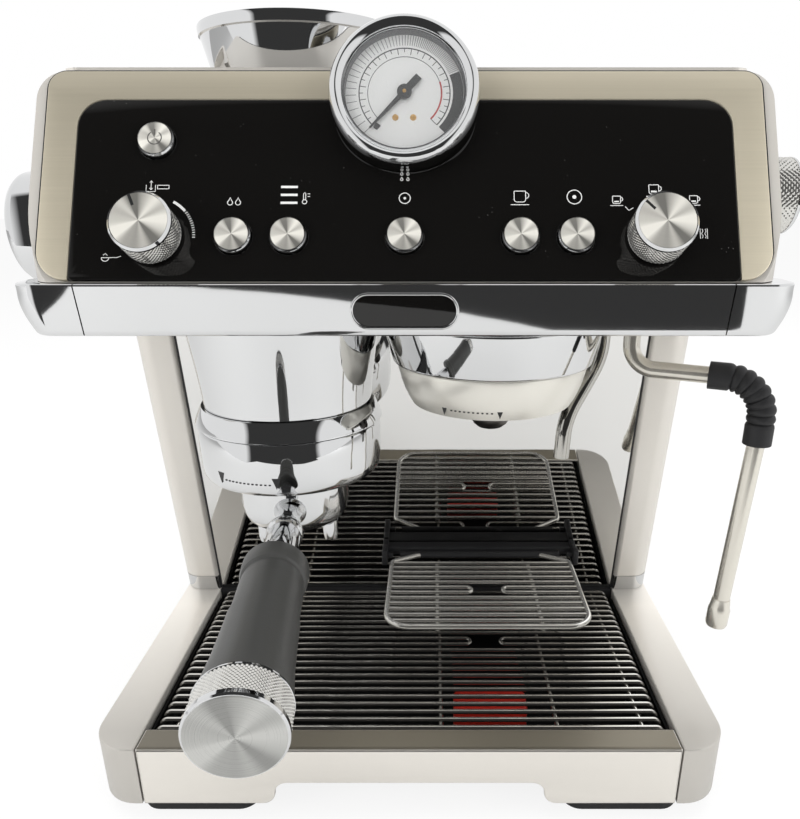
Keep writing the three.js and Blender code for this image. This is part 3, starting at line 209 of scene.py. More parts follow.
def round_path(points: Sequence[Vector], radii: Radii, steps: int = 6, closed: bool = False) -> Path3:
    """Rounds the corners of a path with circular arcs.

    Args:
        points: Corners of the path.
        radii: One radius for all corners, or one for each point.
        steps: Stretches in each arc.
        closed: Whether the last point joins the first.

    Returns:
        The points of the rounded path.
    """
    count = len(points)
    sizes = radii if isinstance(radii, list) else [radii] * count
    result: Path3 = []
    for i, corner in enumerate(points):
        to_last, to_next = points[i - 1] - corner, points[(i + 1) % count] - corner
        first, second = to_last.normalized(), to_next.normalized()
        angle = first.angle(second, pi)
        loose = not closed and i in (0, count - 1)
        if loose or sizes[i] <= 0 or not FLAT_CORNER < angle < pi - FLAT_CORNER:
            result.append(corner.copy())
            continue
        shares = [0.49 if sizes[j % count] > 0 else 0.98 for j in (i - 1, i + 1)]
        room = min(to_last.length * shares[0], to_next.length * shares[1])
        reach = min(sizes[i] / tan(angle / 2), room)
        radius = reach * tan(angle / 2)
        middle = (first + second).normalized() * (radius / sin(angle / 2))
        start, end = first * reach - middle, second * reach - middle
        sweep = start.angle(end, 0.0)
        for k in range(steps + 1):
            early, late = (1 - k / steps) * sweep, k / steps * sweep
            spoke = (start * sin(early) + end * sin(late)) / sin(sweep)
            result.append(corner + middle + spoke)
    return result


def rounded(points: Loop, radii: Radii, steps: int = 6, closed: bool = True) -> Points:
    """Rounds the corners of a flat outline; see round_path."""
    return [(p.x, p.y) for p in round_path(lifted(points, 0.0), radii, steps, closed)]


def rectangle(x0: float, x1: float, y0: float, y1: float, radii: Radii = 0.0, steps: int = 8) -> Points:
    """A rectangle, counter-clockwise from its lower left corner, with rounded corners."""
    return rounded([(x0, y0), (x1, y0), (x1, y1), (x0, y1)], radii, steps)


def offsets(across: float, up: float, *steps: Point2) -> Points:
    """Points at steps in millimetres from one point."""
    return [(across + a * MM, up + b * MM) for a, b in steps]


def stroke(points: Loop, width: float) -> Points:
    """The outline of a line drawn with a pen of some width.

    Args:
        points: The line's points, no two alike.
        width: Width of the pen.

    Returns:
        A counter-clockwise outline.
    """
    sides: dict[int, Points] = {1: [], -1: []}
    for i, (x, y) in enumerate(points):
        before, after = points[max(i - 1, 0)], points[min(i + 1, len(points) - 1)]
        dx, dy = after[0] - before[0], after[1] - before[1]
        reach = width / 2 / (hypot(dx, dy) or 1.0)
        for side, outline in sides.items():
            outline.append((x + side * dy * reach, y - side * dx * reach))
    return sides[1] + sides[-1][::-1]


def signed_area(loop: Loop) -> float:
    """Twice the area inside a loop, positive when it runs counter-clockwise."""
    return sum(a[0] * b[1] - b[0] * a[1] for a, b in zip(loop, list(loop[1:]) + [loop[0]]))


def inset(loop: Loop, distance: float) -> Points:
    """Moves a loop to its left by a distance, which is inwards for a counter-clockwise one.

    Args:
        loop: The points in order.
        distance: How far each side moves.

    Returns:
        The moved points.
    """
    result: Points = []
    count = len(loop)
    for i, (x, y) in enumerate(loop):
        ax, ay = x - loop[i - 1][0], y - loop[i - 1][1]
        bx, by = loop[(i + 1) % count][0] - x, loop[(i + 1) % count][1] - y
        la, lb = hypot(ax, ay) or 1.0, hypot(bx, by) or 1.0
        nx, ny = -(ay / la + by / lb), ax / la + bx / lb
        reach = distance * min(2.0 / max(nx * nx + ny * ny, SAME_POINT), 2.0)
        result.append((x + nx * reach, y + ny * reach))
    return result


# ---- meshes


def strips(rings: Sequence[Sequence[int]]) -> list[Face]:
    """The faces from ring to ring of points; a ring drawn together on the axis gives triangles.

    Args:
        rings: Point numbers of each ring, all of one length.

    Returns:
        The faces, as point numbers.
    """
    faces: list[Face] = []
    for low, high in zip(rings, rings[1:]):
        for k in range(len(low)):
            n = (k + 1) % len(low)
            corners = tuple(dict.fromkeys((low[k], low[n], high[n], high[k])))
            if len(corners) > 2:
                faces.append(corners)
    return faces


def lifted(points: Iterable[Point2], z: float) -> Path3:
    """Flat points at a height."""
    return [Vector((x, y, z)) for x, y in points]


def turn_point(radius: float, angle: float, height: float) -> Vector:
    """A point about the local Z axis."""
    return Vector((radius * cos(angle), radius * sin(angle), height))


def placed(name: str, data: bpy.types.ID) -> bpy.types.Object:
    """A new object in the scene.

    Args:
        name: The object's name.
        data: Its mesh, curve, light or camera.

    Returns:
        The object.
    """
    item = bpy.data.objects.new(name, data)
    SCENE.collection.objects.link(item)
    return item


def soften(mesh: bpy.types.Mesh, angle: float) -> None:
    """Shades a mesh smoothly, apart from edges sharper than an angle in degrees.

    Args:
        mesh: The mesh to shade.
        angle: The sharpest edge that stays smooth.
    """
    for polygon in mesh.polygons:
        polygon.use_smooth = True
    mesh.set_sharp_from_angle(angle=radians(angle))


class Draft:
    """The points and faces of one piece while it is being shaped."""

    def __init__(self) -> None:
        """Starts with nothing."""
        self.points: Path3 = []
        self.faces: list[Face] = []

    def add(self, points: Iterable[Vector], faces: Iterable[Sequence[int]],
            place: Optional[Matrix] = None) -> "Draft":
        """Adds points and faces, moved by a matrix where one is given.

        Args:
            points: The new points.
            faces: Faces between them, by their place in points.
            place: A matrix for the points.

        Returns:
            This draft.
        """
        base = len(self.points)
        self.points += [place @ p if place else p.copy() for p in points]
        self.faces += [tuple(base + k for k in face) for face in faces]
        return self

    def lathe(self, profile: Loop, segments: int = 96, place: Optional[Matrix] = None,
              closed: bool = False) -> "Draft":
        """Turns a profile about the local Z axis.

        Args:
            profile: Radius and height of each point; an open one is carried on to the axis.
            segments: Facets round the axis.
            place: Where the turned shape goes.
            closed: Whether the profile is a loop that never meets the axis.

        Returns:
            This draft.
        """
        if not closed:
            profile = [(0.0, profile[0][1]), *profile, (0.0, profile[-1][1])]
        points: Path3 = []
        rings: list[Sequence[int]] = []
        for radius, height in profile:
            start = len(points)
            if radius < SAME_POINT:
                rings.append([start] * segments)
                points.append(UP * height)
                continue
            points += [turn_point(radius, 2 * pi * k / segments, height) for k in range(segments)]
            rings.append(range(start, start + segments))
        if closed:
            rings.append(rings[0])
        return self.add(points, strips(rings), place)

    def sweep(self, path: Sequence[Vector], radius: Union[float, Callable[[float], float]],
              sides: int = 16) -> "Draft":
        """Carries a round section along a path.

        Args:
            path: Points of the centre line.
            radius: Radius of the section, or a function of the distance from the start.
            sides: Facets round the section.

        Returns:
            This draft.
        """
        last = len(path) - 1
        size = radius if callable(radius) else (lambda _: radius)
        tangents = [(path[min(i + 1, last)] - path[max(i - 1, 0)]).normalized() for i in range(last + 1)]
        helper = UP if abs(tangents[0].z) < 0.9 else RIGHT
        normal = tangents[0].cross(helper).normalized()
        rings: list[Path3] = []
        travelled = 0.0
        for i, centre in enumerate(path):
            if i:
                travelled += (centre - path[i - 1]).length
                turn = tangents[i - 1].rotation_difference(tangents[i])
                normal = (turn @ normal).normalized()
            side = tangents[i].cross(normal).normalized()
            r = size(travelled)
            angles = [2 * pi * k / sides for k in range(sides)]
            rings.append([centre + (normal * cos(a) + side * sin(a)) * r for a in angles])
        return self.loft(rings)

    def slab(self, loops: Sequence[Loop], low: float, high: float, bevel: float = 0.0,
             place: Optional[Matrix] = None, steps: int = 3) -> "Draft":
        """Raises a flat outline with holes along the local Z axis, with rounded edges.

        Args:
            loops: The outer outline first and the holes after it.
            low: Height of the lower face.
            high: Height of the upper face.
            bevel: Radius of the rounding along both faces, which keeps the size.
            place: Where the slab goes.
            steps: Stretches in the rounding.

        Returns:
            This draft.
        """
        levels = [(0.0, low), (0.0, high)]
        if bevel > 0:
            angles = [QUARTER * k / steps for k in range(steps + 1)]
            rise = [(bevel * (1 - sin(a)), low + bevel * (1 - cos(a))) for a in angles]
            levels = rise + [(depth, low + high - z) for depth, z in reversed(rise)]
        points: Path3 = []
        faces: list[Face] = []
        ends: tuple[list[range], list[range]] = ([], [])
        for i, loop in enumerate(loops):
            loop = list(loop) if (signed_area(loop) > 0) == (i == 0) else list(loop)[::-1]
            rings = []
            for depth, z in levels:
                rings.append(range(len(points), len(points) + len(loop)))
                points += lifted(inset(loop, depth) if depth > 0 else loop, z)
            faces += strips(rings)
            ends[0].append(rings[0])
            ends[1].append(rings[-1])
        for end in ends:
            index = [k for ring in end for k in ring]
            for triangle in tessellate_polygon([[points[k] for k in ring] for ring in end]):
                faces.append(tuple(index[k] for k in triangle))
        return self.add(points, faces, place)

    def loft(self, rings: Sequence[Sequence[Vector]]) -> "Draft":
        """Joins closed rings of equal length one after another and closes the ends.

        Args:
            rings: The rings in order, each counter-clockwise.

        Returns:
            This draft.
        """
        count = len(rings[0])
        index = [range(i * count, (i + 1) * count) for i in range(len(rings))]
        ends = [tuple(reversed(index[0])), tuple(index[-1])]
        return self.add([point for ring in rings for point in ring], strips(index) + ends)

    def warp(self, move: Callable[[Vector], Vector]) -> "Draft":
        """Moves every point by a function of its place."""
        self.points = [move(point) for point in self.points]
        return self

    def piece(self, name: str, smooth_angle: float = 32.0, place: Optional[Matrix] = None,
              cut: Cuts = ()) -> bpy.types.Object:
        """Makes the Blender object.

        Args:
            name: Its name.
            smooth_angle: Edges sharper than this many degrees stay crisp.
            place: The object's own place; the draft's points are local to it.
            cut: Planes, each a point and a direction; what lies beyond is taken off.

        Returns:
            The new object.
        """
        mesh = bpy.data.meshes.new(name)
        work = bmesh.new()
        corners = [work.verts.new(point) for point in self.points]
        for face in self.faces:
            try:
                work.faces.new([corners[k] for k in face])
            except ValueError:
                continue
        bmesh.ops.remove_doubles(work, verts=work.verts, dist=SAME_POINT)
        bmesh.ops.dissolve_degenerate(work, edges=work.edges, dist=SAME_POINT)
        bmesh.ops.recalc_face_normals(work, faces=work.faces)
        for point, direction in cut:
            everything = list(work.verts) + list(work.edges) + list(work.faces)
            found = bmesh.ops.bisect_plane(work, geom=everything, plane_co=point, plane_no=direction,
                                           clear_outer=True)
            rim = [item for item in found["geom_cut"] if isinstance(item, bmesh.types.BMEdge)]
            bmesh.ops.holes_fill(work, edges=rim)
        work.to_mesh(mesh)
        work.free()
        piece = placed(name, mesh)
        soften(mesh, smooth_angle)
        if place is not None:
            piece.matrix_world = place
        return piece


# ---- shader graphs


WHITE = (1.0, 1.0, 1.0)
DUST = (0.45, 0.44, 0.42)
RINGS_PER_METRE = 5200.0
# Turns, phase and share of sine waves round the centre of a turned face: painted highlights, bright and dark
# sectors painted into its colour in place of the streaked reflection of turned metal.
PAINTED_HIGHLIGHT_SECTORS = ((2.0, 0.9, 0.30), (5.0, 2.2, 0.22), (9.0, 0.0, 0.08))
BROAD_SHARE = 0.12
FULLY_UP = 0.98


def summing(operation: str, first: bool = True) -> Callable[..., "Value"]:
    """A method of Value that adds one Math node, with the value as its first or its last term.

    Args:
        operation: The node's operation.
        first: Whether the value is its first term.

    Returns:
        The method.
    """

    def method(value: "Value", *others: Number) -> "Value":
        """Adds the node.

        Args:
            value: The value that it is called on.
            others: The other terms.

        Returns:
            The node's result.
        """
        terms = (value, *others) if first else (*others, value)
        node = value.graph.node("ShaderNodeMath", {"operation": operation}, dict(enumerate(terms)))
        return value.graph.value(node)

    return method


class Value:
    """A number on a surface that takes part in Python sums; each sum adds one Math node."""

    def __init__(self, graph: "Graph", socket: Socket) -> None:
        """Wraps one output of a graph's node."""
        self.graph = graph
        self.socket = socket

    __add__ = __radd__ = summing("ADD")
    __sub__ = summing("SUBTRACT")
    __rsub__ = summing("SUBTRACT", first=False)
    __mul__ = __rmul__ = summing("MULTIPLY")
    __pow__ = summing("POWER")
    sine = summing("SINE")
    minimum = summing("MINIMUM")
    maximum = summing("MAXIMUM")

    def clipped(self) -> "Value":
        """The value held between 0 and 1."""
        return self.minimum(1.0).maximum(0.0)

    def between(self, low: float, high: float) -> "Value":
        """0 below low, 1 above high and an even rise between them."""
        return ((self - low) * (1.0 / (high - low))).clipped()


class Graph:
    """The node tree of one material or world."""

    def __init__(self, tree: bpy.types.NodeTree) -> None:
        """Clears the tree."""
        self.tree = tree
        tree.nodes.clear()

    def node(self, kind: str, settings: Optional[dict] = None, sockets: Optional[dict] = None) -> Node:
        """Adds a node.

        Args:
            kind: The node's type.
            settings: Attributes, set first.
            sockets: Inputs by name or number, each a number, a colour, a value or an output socket.

        Returns:
            The node.
        """
        node = self.tree.nodes.new(kind)
        for key, setting in (settings or {}).items():
            setattr(node, key, setting)
        for key, source in (sockets or {}).items():
            socket = node.inputs[key]
            source = source.socket if isinstance(source, Value) else source
            if isinstance(source, Socket):
                self.tree.links.new(source, socket)
            elif isinstance(source, tuple) and len(source) == 3 and socket.type == "RGBA":
                socket.default_value = (*source, 1.0)
            else:
                socket.default_value = source
        return node

    def value(self, node: Node, output: Union[str, int] = 0) -> Value:
        """One output of a node as a value for sums."""
        return Value(self, node.outputs[output])

    def place(self) -> Socket:
        """The surface point in the piece's own directions, in metres."""
        return self.node("ShaderNodeTexCoord").outputs["Object"]

    def split(self, vector: Socket) -> tuple[Value, Value, Value]:
        """The X, Y and Z of a vector."""
        node = self.node("ShaderNodeSeparateXYZ", None, {0: vector})
        return self.value(node, 0), self.value(node, 1), self.value(node, 2)

    def stretched(self, vector: Socket, scale: Sequence[float]) -> Socket:
        """A vector multiplied along each axis."""
        node = self.node("ShaderNodeVectorMath", {"operation": "MULTIPLY"}, {0: vector, 1: tuple(scale)})
        return node.outputs[0]

    def noise(self, vector: Socket, scale: Union[float, Sequence[float]],
              detail: float = 3.0, roughness: float = 0.55) -> Value:
        """Smooth noise between 0 and 1.

        Args:
            vector: The point.
            scale: Waves in a metre, one number or one for each axis.
            detail: Number of finer layers.
            roughness: Strength of the finer layers.

        Returns:
            The noise.
        """
        sizes = (scale, scale, scale) if isinstance(scale, (int, float)) else scale
        node = self.node("ShaderNodeTexNoise", None, {
            "Vector": self.stretched(vector, sizes), "Scale": 1.0, "Detail": detail, "Roughness": roughness})
        return self.value(node)

    def cells(self, vector: Socket, scale: float) -> Value:
        """Distance to the nearest of many scattered points."""
        node = self.node("ShaderNodeTexVoronoi", None, {"Vector": vector, "Scale": scale})
        return self.value(node, "Distance")

    def mix(self, share: Number, first: Union[Color, Socket],
            second: Union[Color, Socket]) -> Socket:
        """A colour between two colours or colour outputs."""
        return self.node("ShaderNodeMix", {"data_type": "RGBA"}, {0: share, 6: first, 7: second}).outputs[2]

    def blend(self, share: Value, first: Node, second: Node) -> Node:
        """A shader between two shaders."""
        return self.node("ShaderNodeMixShader", None, {0: share, 1: first.outputs[0], 2: second.outputs[0]})

    def bump(self, height: Value, depth: float) -> Socket:
        """A normal from a height between 0 and 1 that stands for a depth in metres."""
        sockets = {"Height": height, "Strength": 1.0, "Distance": depth}
        return self.node("ShaderNodeBump", None, sockets).outputs[0]

    def skin(self, sockets: dict, height: Value, depth: float) -> Node:
        """A principled shader with a bump."""
        return self.node("ShaderNodeBsdfPrincipled", None, {**sockets, "Normal": self.bump(height, depth)})

    def surface(self, shader: Node) -> None:
        """Ends the tree with a shader."""
        self.node("ShaderNodeOutputMaterial", None, {"Surface": shader.outputs[0]})


def toned(color: Color, gain: float, lift: float = 0.0) -> Color:
    """A colour made lighter or darker."""
    return tuple(min(1.0, c * gain + lift) for c in color)


def new_graph(material: bpy.types.Material) -> Graph:
    """The empty node tree of a new material."""
    material.use_nodes = True
    return Graph(material.node_tree)


class Grain(Enum):
    """How a metal surface is finished."""

    POLISHED = "polished"
    ALONG_X = "brushed along X"
    TURNED = "turned in rings"
    SATIN = "fine satin"


GRAIN_SCALE = {Grain.ALONG_X: (9.0, 2600.0, 2600.0), Grain.SATIN: (1500.0, 1500.0, 1500.0)}


@dataclass(frozen=True)
class Finish:
    """The base of every finish: a name and the material made from it once."""

    name: str

    def material(self) -> bpy.types.Material:
        """The finished material, made on first use.

        Returns:
            The material.
        """
        title = f"{self.name}_finish"
        found = bpy.data.materials.get(title)
        if found:
            return found
        material = bpy.data.materials.new(title)
        self.paint(new_graph(material))
        return material

    def paint(self, graph: Graph) -> None:
        """Fills the material's tree."""
        raise NotImplementedError


@dataclass(frozen=True)
class Metal(Finish):
    """Bare or plated metal: colour, polish and the lines that its finishing left, with painted light where a
    finish asks: bright and dark highlight sectors on turned faces, a light gradient across the piece and a
    painted tone on up-facing sides.
    """

    color: Color
    roughness: float
    grain: Grain = Grain.POLISHED
    metallic: float = 1.0
    line_depth: float = 0.004 * MM
    line_shade: float = 0.06
    smudge: float = 0.03
    # Strength of the painted highlight sectors on turned faces.
    highlight_sector_strength: float = 0.0
    # Painted tone for up-facing sides, starting where the normal's height passes the next setting: a painted
    # highlight on wires, a painted shade on the tray's top.
    painted_top_color: Optional[Color] = None
    painted_top_from: float = 0.90
    # Painted light gradient: slopes along x, y and z and an offset for a gain on the colour, lighter on one
    # side of the piece and darker on the other.
    painted_light_gradient: Optional[tuple[float, float, float, float]] = None

    def paint(self, graph: Graph) -> None:
        """Brush lines, handling marks and a little waviness, plus painted light where the finish asks for it.

        Args:
            graph: The node graph of the material.
        """
        place = graph.place()
        shade = graph.noise(place, 22.0, 3.0)
        rough = self.roughness + (shade - 0.5) * self.smudge
        height = graph.noise(place, 60.0, 1.0)
        depth = 0.01 * MM if self.grain is Grain.POLISHED else self.line_depth
        if self.grain is Grain.TURNED:
            x, y, _ = graph.split(place)
            radius = (x * x + y * y) ** 0.5
            angle = graph.value(graph.node("ShaderNodeMath", {"operation": "ARCTAN2"}, {0: y, 1: x}))
            rings = graph.node("ShaderNodeCombineXYZ", None, {0: radius * RINGS_PER_METRE, 1: 0.0, 2: 0.0})
            height = graph.noise(rings.outputs[0], 1.0, 2.0)
            # Painted highlight: sine waves round the centre paint bright and dark sectors into the colour,
            # standing in for the streaked reflection of turned metal.
            painted_sectors = sum((angle * turns + start).sine() * share for turns, start, share in PAINTED_HIGHLIGHT_SECTORS)
            shade = (height * 0.3 + painted_sectors * self.highlight_sector_strength + 0.38).clipped()
            rough = rough + (height - 0.5) * 0.06
        elif self.grain in GRAIN_SCALE:
            height = graph.noise(place, GRAIN_SCALE[self.grain], 3.0, 0.6)
            broad = graph.noise(place, tuple(s * BROAD_SHARE for s in GRAIN_SCALE[self.grain]), 2.0, 0.5)
            shade = height * 0.65 + broad * 0.35
            rough = rough + (height - 0.5) * 0.10
        dark, light = (toned(self.color, 1 + side * self.line_shade) for side in (-1, 1))
        color = graph.mix(shade, dark, light)
        # Painted light gradient: a gain that rises along a slope through the piece lightens the colour on one
        # side and darkens it on the other.
        if self.painted_light_gradient:
            x, y, z = graph.split(place)
            gain = x * self.painted_light_gradient[0] + y * self.painted_light_gradient[1] + z * self.painted_light_gradient[2] + self.painted_light_gradient[3]
            sockets = {0: color, "Scale": gain.between(0.7, 1.4) * 0.7 + 0.7}
            color = graph.node("ShaderNodeVectorMath", {"operation": "SCALE"}, sockets).outputs[0]
        # Painted tone on up-facing sides, varied along X: a painted highlight on wires, a painted shade on
        # the tray's top.
        if self.painted_top_color:
            _, _, up = graph.split(graph.node("ShaderNodeNewGeometry").outputs["Normal"])
            across = graph.noise(place, (6.0, 1.0, 1.0), 1.0).between(0.35, 0.75)
            level = graph.mix(across, self.painted_top_color, tuple(2.1 * c for c in self.painted_top_color))
            color = graph.mix(up.between(self.painted_top_from, FULLY_UP), color, level)
        sockets = {"Base Color": color, "Metallic": self.metallic, "Roughness": rough.clipped()}
        graph.surface(graph.skin(sockets, height, depth))


@dataclass(frozen=True)
class Moulding(Finish):
    """Moulded plastic or rubber: colour, sheen and a fine spark-eroded texture."""

    color: Color
    roughness: float = 0.45
    texture_depth: float = 0.02 * MM
    texture_scale: float = 1400.0
    spread: float = 0.12
    coat: float = 0.0
    shine: float = 0.5

    def paint(self, graph: Graph) -> None:
        """Fine texture, faint clouds of handling and lighter worn spots.

        Args:
            graph: The node graph of the material.
        """
        place = graph.place()
        cloud = graph.noise(place, 26.0, 4.0, 0.6)
        pits = graph.noise(place, self.texture_scale, 2.0, 0.6)
        dark, light = toned(self.color, 1 - self.spread), toned(self.color, 1 + self.spread, 0.004)
        sockets = {
            "Base Color": graph.mix(cloud * 0.7 + pits * 0.3, dark, light),
            "Roughness": (self.roughness + (cloud - 0.5) * 0.12 + (pits - 0.5) * 0.06).clipped(),
            "Coat Weight": self.coat, "Specular IOR Level": self.shine}
        graph.surface(graph.skin(sockets, pits, self.texture_depth))


@dataclass(frozen=True)
class Gloss(Finish):
    """A glossy dark panel or lacquer with faint dust and wiping marks."""

    color: Color
    roughness: float = 0.04
    marks: float = 0.05

    def paint(self, graph: Graph) -> None:
        """Wiping marks in the polish and specks of dust.

        Args:
            graph: The node graph of the material.
        """
        place = graph.place()
        wipes = graph.noise(place, (30.0, 12.0, 60.0), 4.0, 0.6)
        dust = graph.cells(place, 420.0).between(0.10, 0.04)
        rare = graph.noise(place, 90.0, 1.0).between(0.62, 0.72)
        sockets = {"Base Color": graph.mix(dust * rare * 0.25, self.color, DUST),
                   "Roughness": (self.roughness + wipes.between(0.55, 0.8) * self.marks).clipped()}
        graph.surface(graph.skin(sockets, wipes, 0.004 * MM))


@dataclass(frozen=True)
class Clear(Finish):
    """Clear or smoked glass or plastic that lets light straight through."""

    tint: Color
    opacity: float = 0.1
    roughness: float = 0.02

    def paint(self, graph: Graph) -> None:
        """A thin reflecting skin over a see-through body.

        Args:
            graph: The node graph of the material.
        """
        wipes = graph.noise(graph.place(), 40.0, 3.0)
        rough = self.roughness + wipes.between(0.5, 0.9) * 0.05
        skin = graph.skin({"Base Color": self.tint, "Roughness": rough}, wipes, 0.003 * MM)
        through = graph.node("ShaderNodeBsdfTransparent", None, {"Color": WHITE})
        rim = graph.value(graph.node("ShaderNodeFresnel", None, {"IOR": 1.45}))
        graph.surface(graph.blend((rim * 0.9 + self.opacity).clipped(), through, skin))


@dataclass(frozen=True)
class Ink(Finish):
    """Printed marks: flat colour with a slightly uneven coverage."""

    color: Color
    roughness: float = 0.5

    def paint(self, graph: Graph) -> None:
        """Small changes of tone, as in screen printing.

        Args:
            graph: The node graph of the material.
        """
        grain = graph.noise(graph.place(), 900.0, 2.0)
        sockets = {"Base Color": graph.mix(grain, toned(self.color, 0.9), self.color),
                   "Roughness": (self.roughness + (grain - 0.5) * 0.1).clipped()}
        graph.surface(graph.skin(sockets, grain, 0.003 * MM))


WARM_STEEL = (0.71, 0.68, 0.63)
CHROME = Metal("polished_chrome", (0.69, 0.695, 0.70), 0.035, smudge=0.02, line_shade=0.02)
MIRROR = Metal("mirror_sheet", (0.74, 0.735, 0.72), 0.025, smudge=0.015, line_shade=0.02)
SATIN_STEEL = Metal("satin_steel", WARM_STEEL, 0.34, Grain.SATIN, metallic=0.45, line_shade=0.03)
# The tray's satin steel with a dark painted shade on its up-facing top.
TRAY_STEEL_PAINTED_TOP_SHADE = replace(SATIN_STEEL, name="tray_satin_steel_painted_top_shade", painted_top_color=(0.15, 0.135, 0.105))
# Satin steel with a painted light gradient: lighter towards the rear, darker towards the front.
CASING_STEEL_PAINTED_LIGHT = replace(SATIN_STEEL, name="casing_satin_steel_painted_light", painted_light_gradient=(0.0, 5.5, 0.0, 1.32))
# Brushed steel with a painted light gradient: lighter to the right, darker higher up.
BRUSHED_STEEL_PAINTED_LIGHT = Metal("brushed_warm_steel_painted_light", (0.55, 0.50, 0.39), 0.33, Grain.ALONG_X, metallic=0.5,
                      line_shade=0.10, line_depth=0.006 * MM, painted_light_gradient=(0.6, 0.0, -4.2, 2.48))
# Dark wire steel with a painted highlight along its up-facing sides.
WIRE_STEEL_PAINTED_HIGHLIGHT = Metal("wire_steel_painted_highlight", (0.27, 0.26, 0.24), 0.07, metallic=0.95, smudge=0.04, line_shade=0.05,
                   painted_top_color=(0.66, 0.64, 0.60), painted_top_from=0.80)
# Shelf wire steel with a broader, brighter painted highlight along its up-facing sides.
SHELF_STEEL_PAINTED_HIGHLIGHT = Metal("shelf_wire_painted_highlight", (0.42, 0.41, 0.38), 0.08, metallic=0.85, smudge=0.04, line_shade=0.05,
                    painted_top_color=(0.90, 0.88, 0.83), painted_top_from=0.58)
PIPE_STEEL = Metal("pipe_steel", (0.46, 0.45, 0.42), 0.09, smudge=0.05)
RING_STEEL = Metal("group_ring_steel", (0.74, 0.72, 0.66), 0.30, Grain.SATIN, metallic=0.55, line_shade=0.03,
                   line_depth=0.0002 * MM)
WAND_STEEL = Metal("wand_satin_steel", (0.72, 0.69, 0.62), 0.22, metallic=0.8, smudge=0.03, line_shade=0.03)
# Turned aluminium whose colour carries strong painted highlight sectors.
TURNED = Metal("turned_aluminium_painted_highlights", (0.56, 0.545, 0.50), 0.26, Grain.TURNED, metallic=0.4,
               line_depth=0.012 * MM, line_shade=0.66, highlight_sector_strength=1.3)
# A darker turned face with softer painted highlight sectors.
CAP_TURNED = Metal("turned_cap_painted_highlights", (0.37, 0.37, 0.355), 0.28, Grain.TURNED, metallic=0.4,
                   line_depth=0.010 * MM, line_shade=0.34, highlight_sector_strength=1.2)
KNURLED = Metal("knurled_aluminium", (0.70, 0.69, 0.66), 0.13, metallic=0.9, smudge=0.06, line_shade=0.05)
SCREEN_DARK = Metal("screen_dark_steel", (0.10, 0.095, 0.09), 0.28, smudge=0.06, line_shade=0.06)
BRASS = Metal("brass", (0.74, 0.42, 0.10), 0.25, metallic=0.4, smudge=0.05)
BLACK_GLASS = Gloss("black_glass", (0.004, 0.0037, 0.0034), 0.02, 0.025)
DARK_MOULDING = Moulding("dark_moulding", (0.014, 0.014, 0.015), 0.42)
CHARCOAL = Moulding("charcoal_grip", (0.042, 0.042, 0.040), 0.40, 0.04 * MM, 900.0)
RUBBER = Moulding("black_rubber", (0.012, 0.012, 0.013), 0.6, 0.05 * MM, 700.0)
# Near black with little sheen, darker than the other mouldings: the tub's own black plus painted shade for
# the dark gaps under the grille.
TUB_BLACK_PAINTED_SHADE = Moulding("tub_black_painted_shade", (0.003, 0.003, 0.003), 0.5, shine=0.06)
RED_FLOAT = Moulding("red_float", (0.62, 0.026, 0.014), 0.35, coat=0.3)
GAUGE_WALL = Moulding("gauge_wall", (0.10, 0.10, 0.105), 0.45)
NEEDLE_BLACK = Moulding("needle_black", (0.012, 0.012, 0.013), 0.38)
DIAL_FACE = Ink("dial_face", (0.88, 0.88, 0.87), 0.45)
DIAL_INK = Ink("dial_ink", (0.015, 0.015, 0.017))
DIAL_GREY = Ink("dial_grey", (0.15, 0.15, 0.155))
DIAL_RED = Ink("dial_red", (0.50, 0.03, 0.025))
WHITE_PRINT = Ink("white_print", (0.66, 0.66, 0.65))
DARK_PRINT = Ink("dark_print", (0.02, 0.02, 0.02))
GAUGE_GLASS = Clear("gauge_glass", (0.97, 0.98, 0.98), 0.015)
SMOKED = Clear("smoked_plastic", (0.045, 0.05, 0.055), 0.72, 0.08)


# ---- pieces


def cover(piece: bpy.types.Object, finish: Finish) -> None:
    """Gives a piece its only material."""
    piece.data.materials.clear()
    piece.data.materials.append(finish.material())


def show(draft: Draft, name: str, finish: Finish, node: str = "", angle: float = 32.0,
         place: Optional[Matrix] = None, body: Body = Body.MACHINE,
         cut: Cuts = ()) -> None:
    """Makes a piece from a draft, dresses it and lets it ride on its body.

    Args:
        draft: The shape.
        name: Name of the piece.
        finish: Its finish.
        node: The frame node that it replaces.
        angle: Edges sharper than this many degrees stay crisp.
        place: The piece's own place.
        body: The body that it moves with.
        cut: Planes that trim it; see Draft.piece.
    """
    piece = draft.piece(name, angle, place, cut)
    cover(piece, finish)
    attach(piece, body.value)
    if node:
        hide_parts(node)
    LOG.info("%s: %d points, rides on %s", name, len(piece.data.vertices), body.value)


def dress(node: str, finish: Finish, angle: float = 35.0, bevel: float = 0.0) -> None:
    """Gives a frame node its finish, keeping its shape.

    Args:
        node: Name of the node.
        finish: Its finish.
        angle: Edges sharper than this many degrees stay crisp.
        bevel: Width of an added edge rounding.
    """
    piece = frame["nodes"][node]
    cover(piece, finish)
    soften(piece.data, angle)
    if bevel > 0:
        rounding = piece.modifiers.new("edge_rounding", "BEVEL")
        rounding.width = bevel
        rounding.segments = 2
        rounding.limit_method = "ANGLE"
        rounding.angle_limit = radians(angle)
    LOG.info("%s: frame node, %s", node, finish.name)


# ---- base and drip tray


def flanks(box: Span, side: str) -> Point2:
    """The outer and the inner X of a box on the left or the right side."""
    return (box.low.x, box.high.x) if side == "left" else (box.high.x, box.low.x)


def block(box: Span, outline: Loop, edge: float) -> Draft:
    """An outline raised over the height of a box, with rounded edges."""
    return Draft().slab([outline], box.low.z, box.high.z, edge)


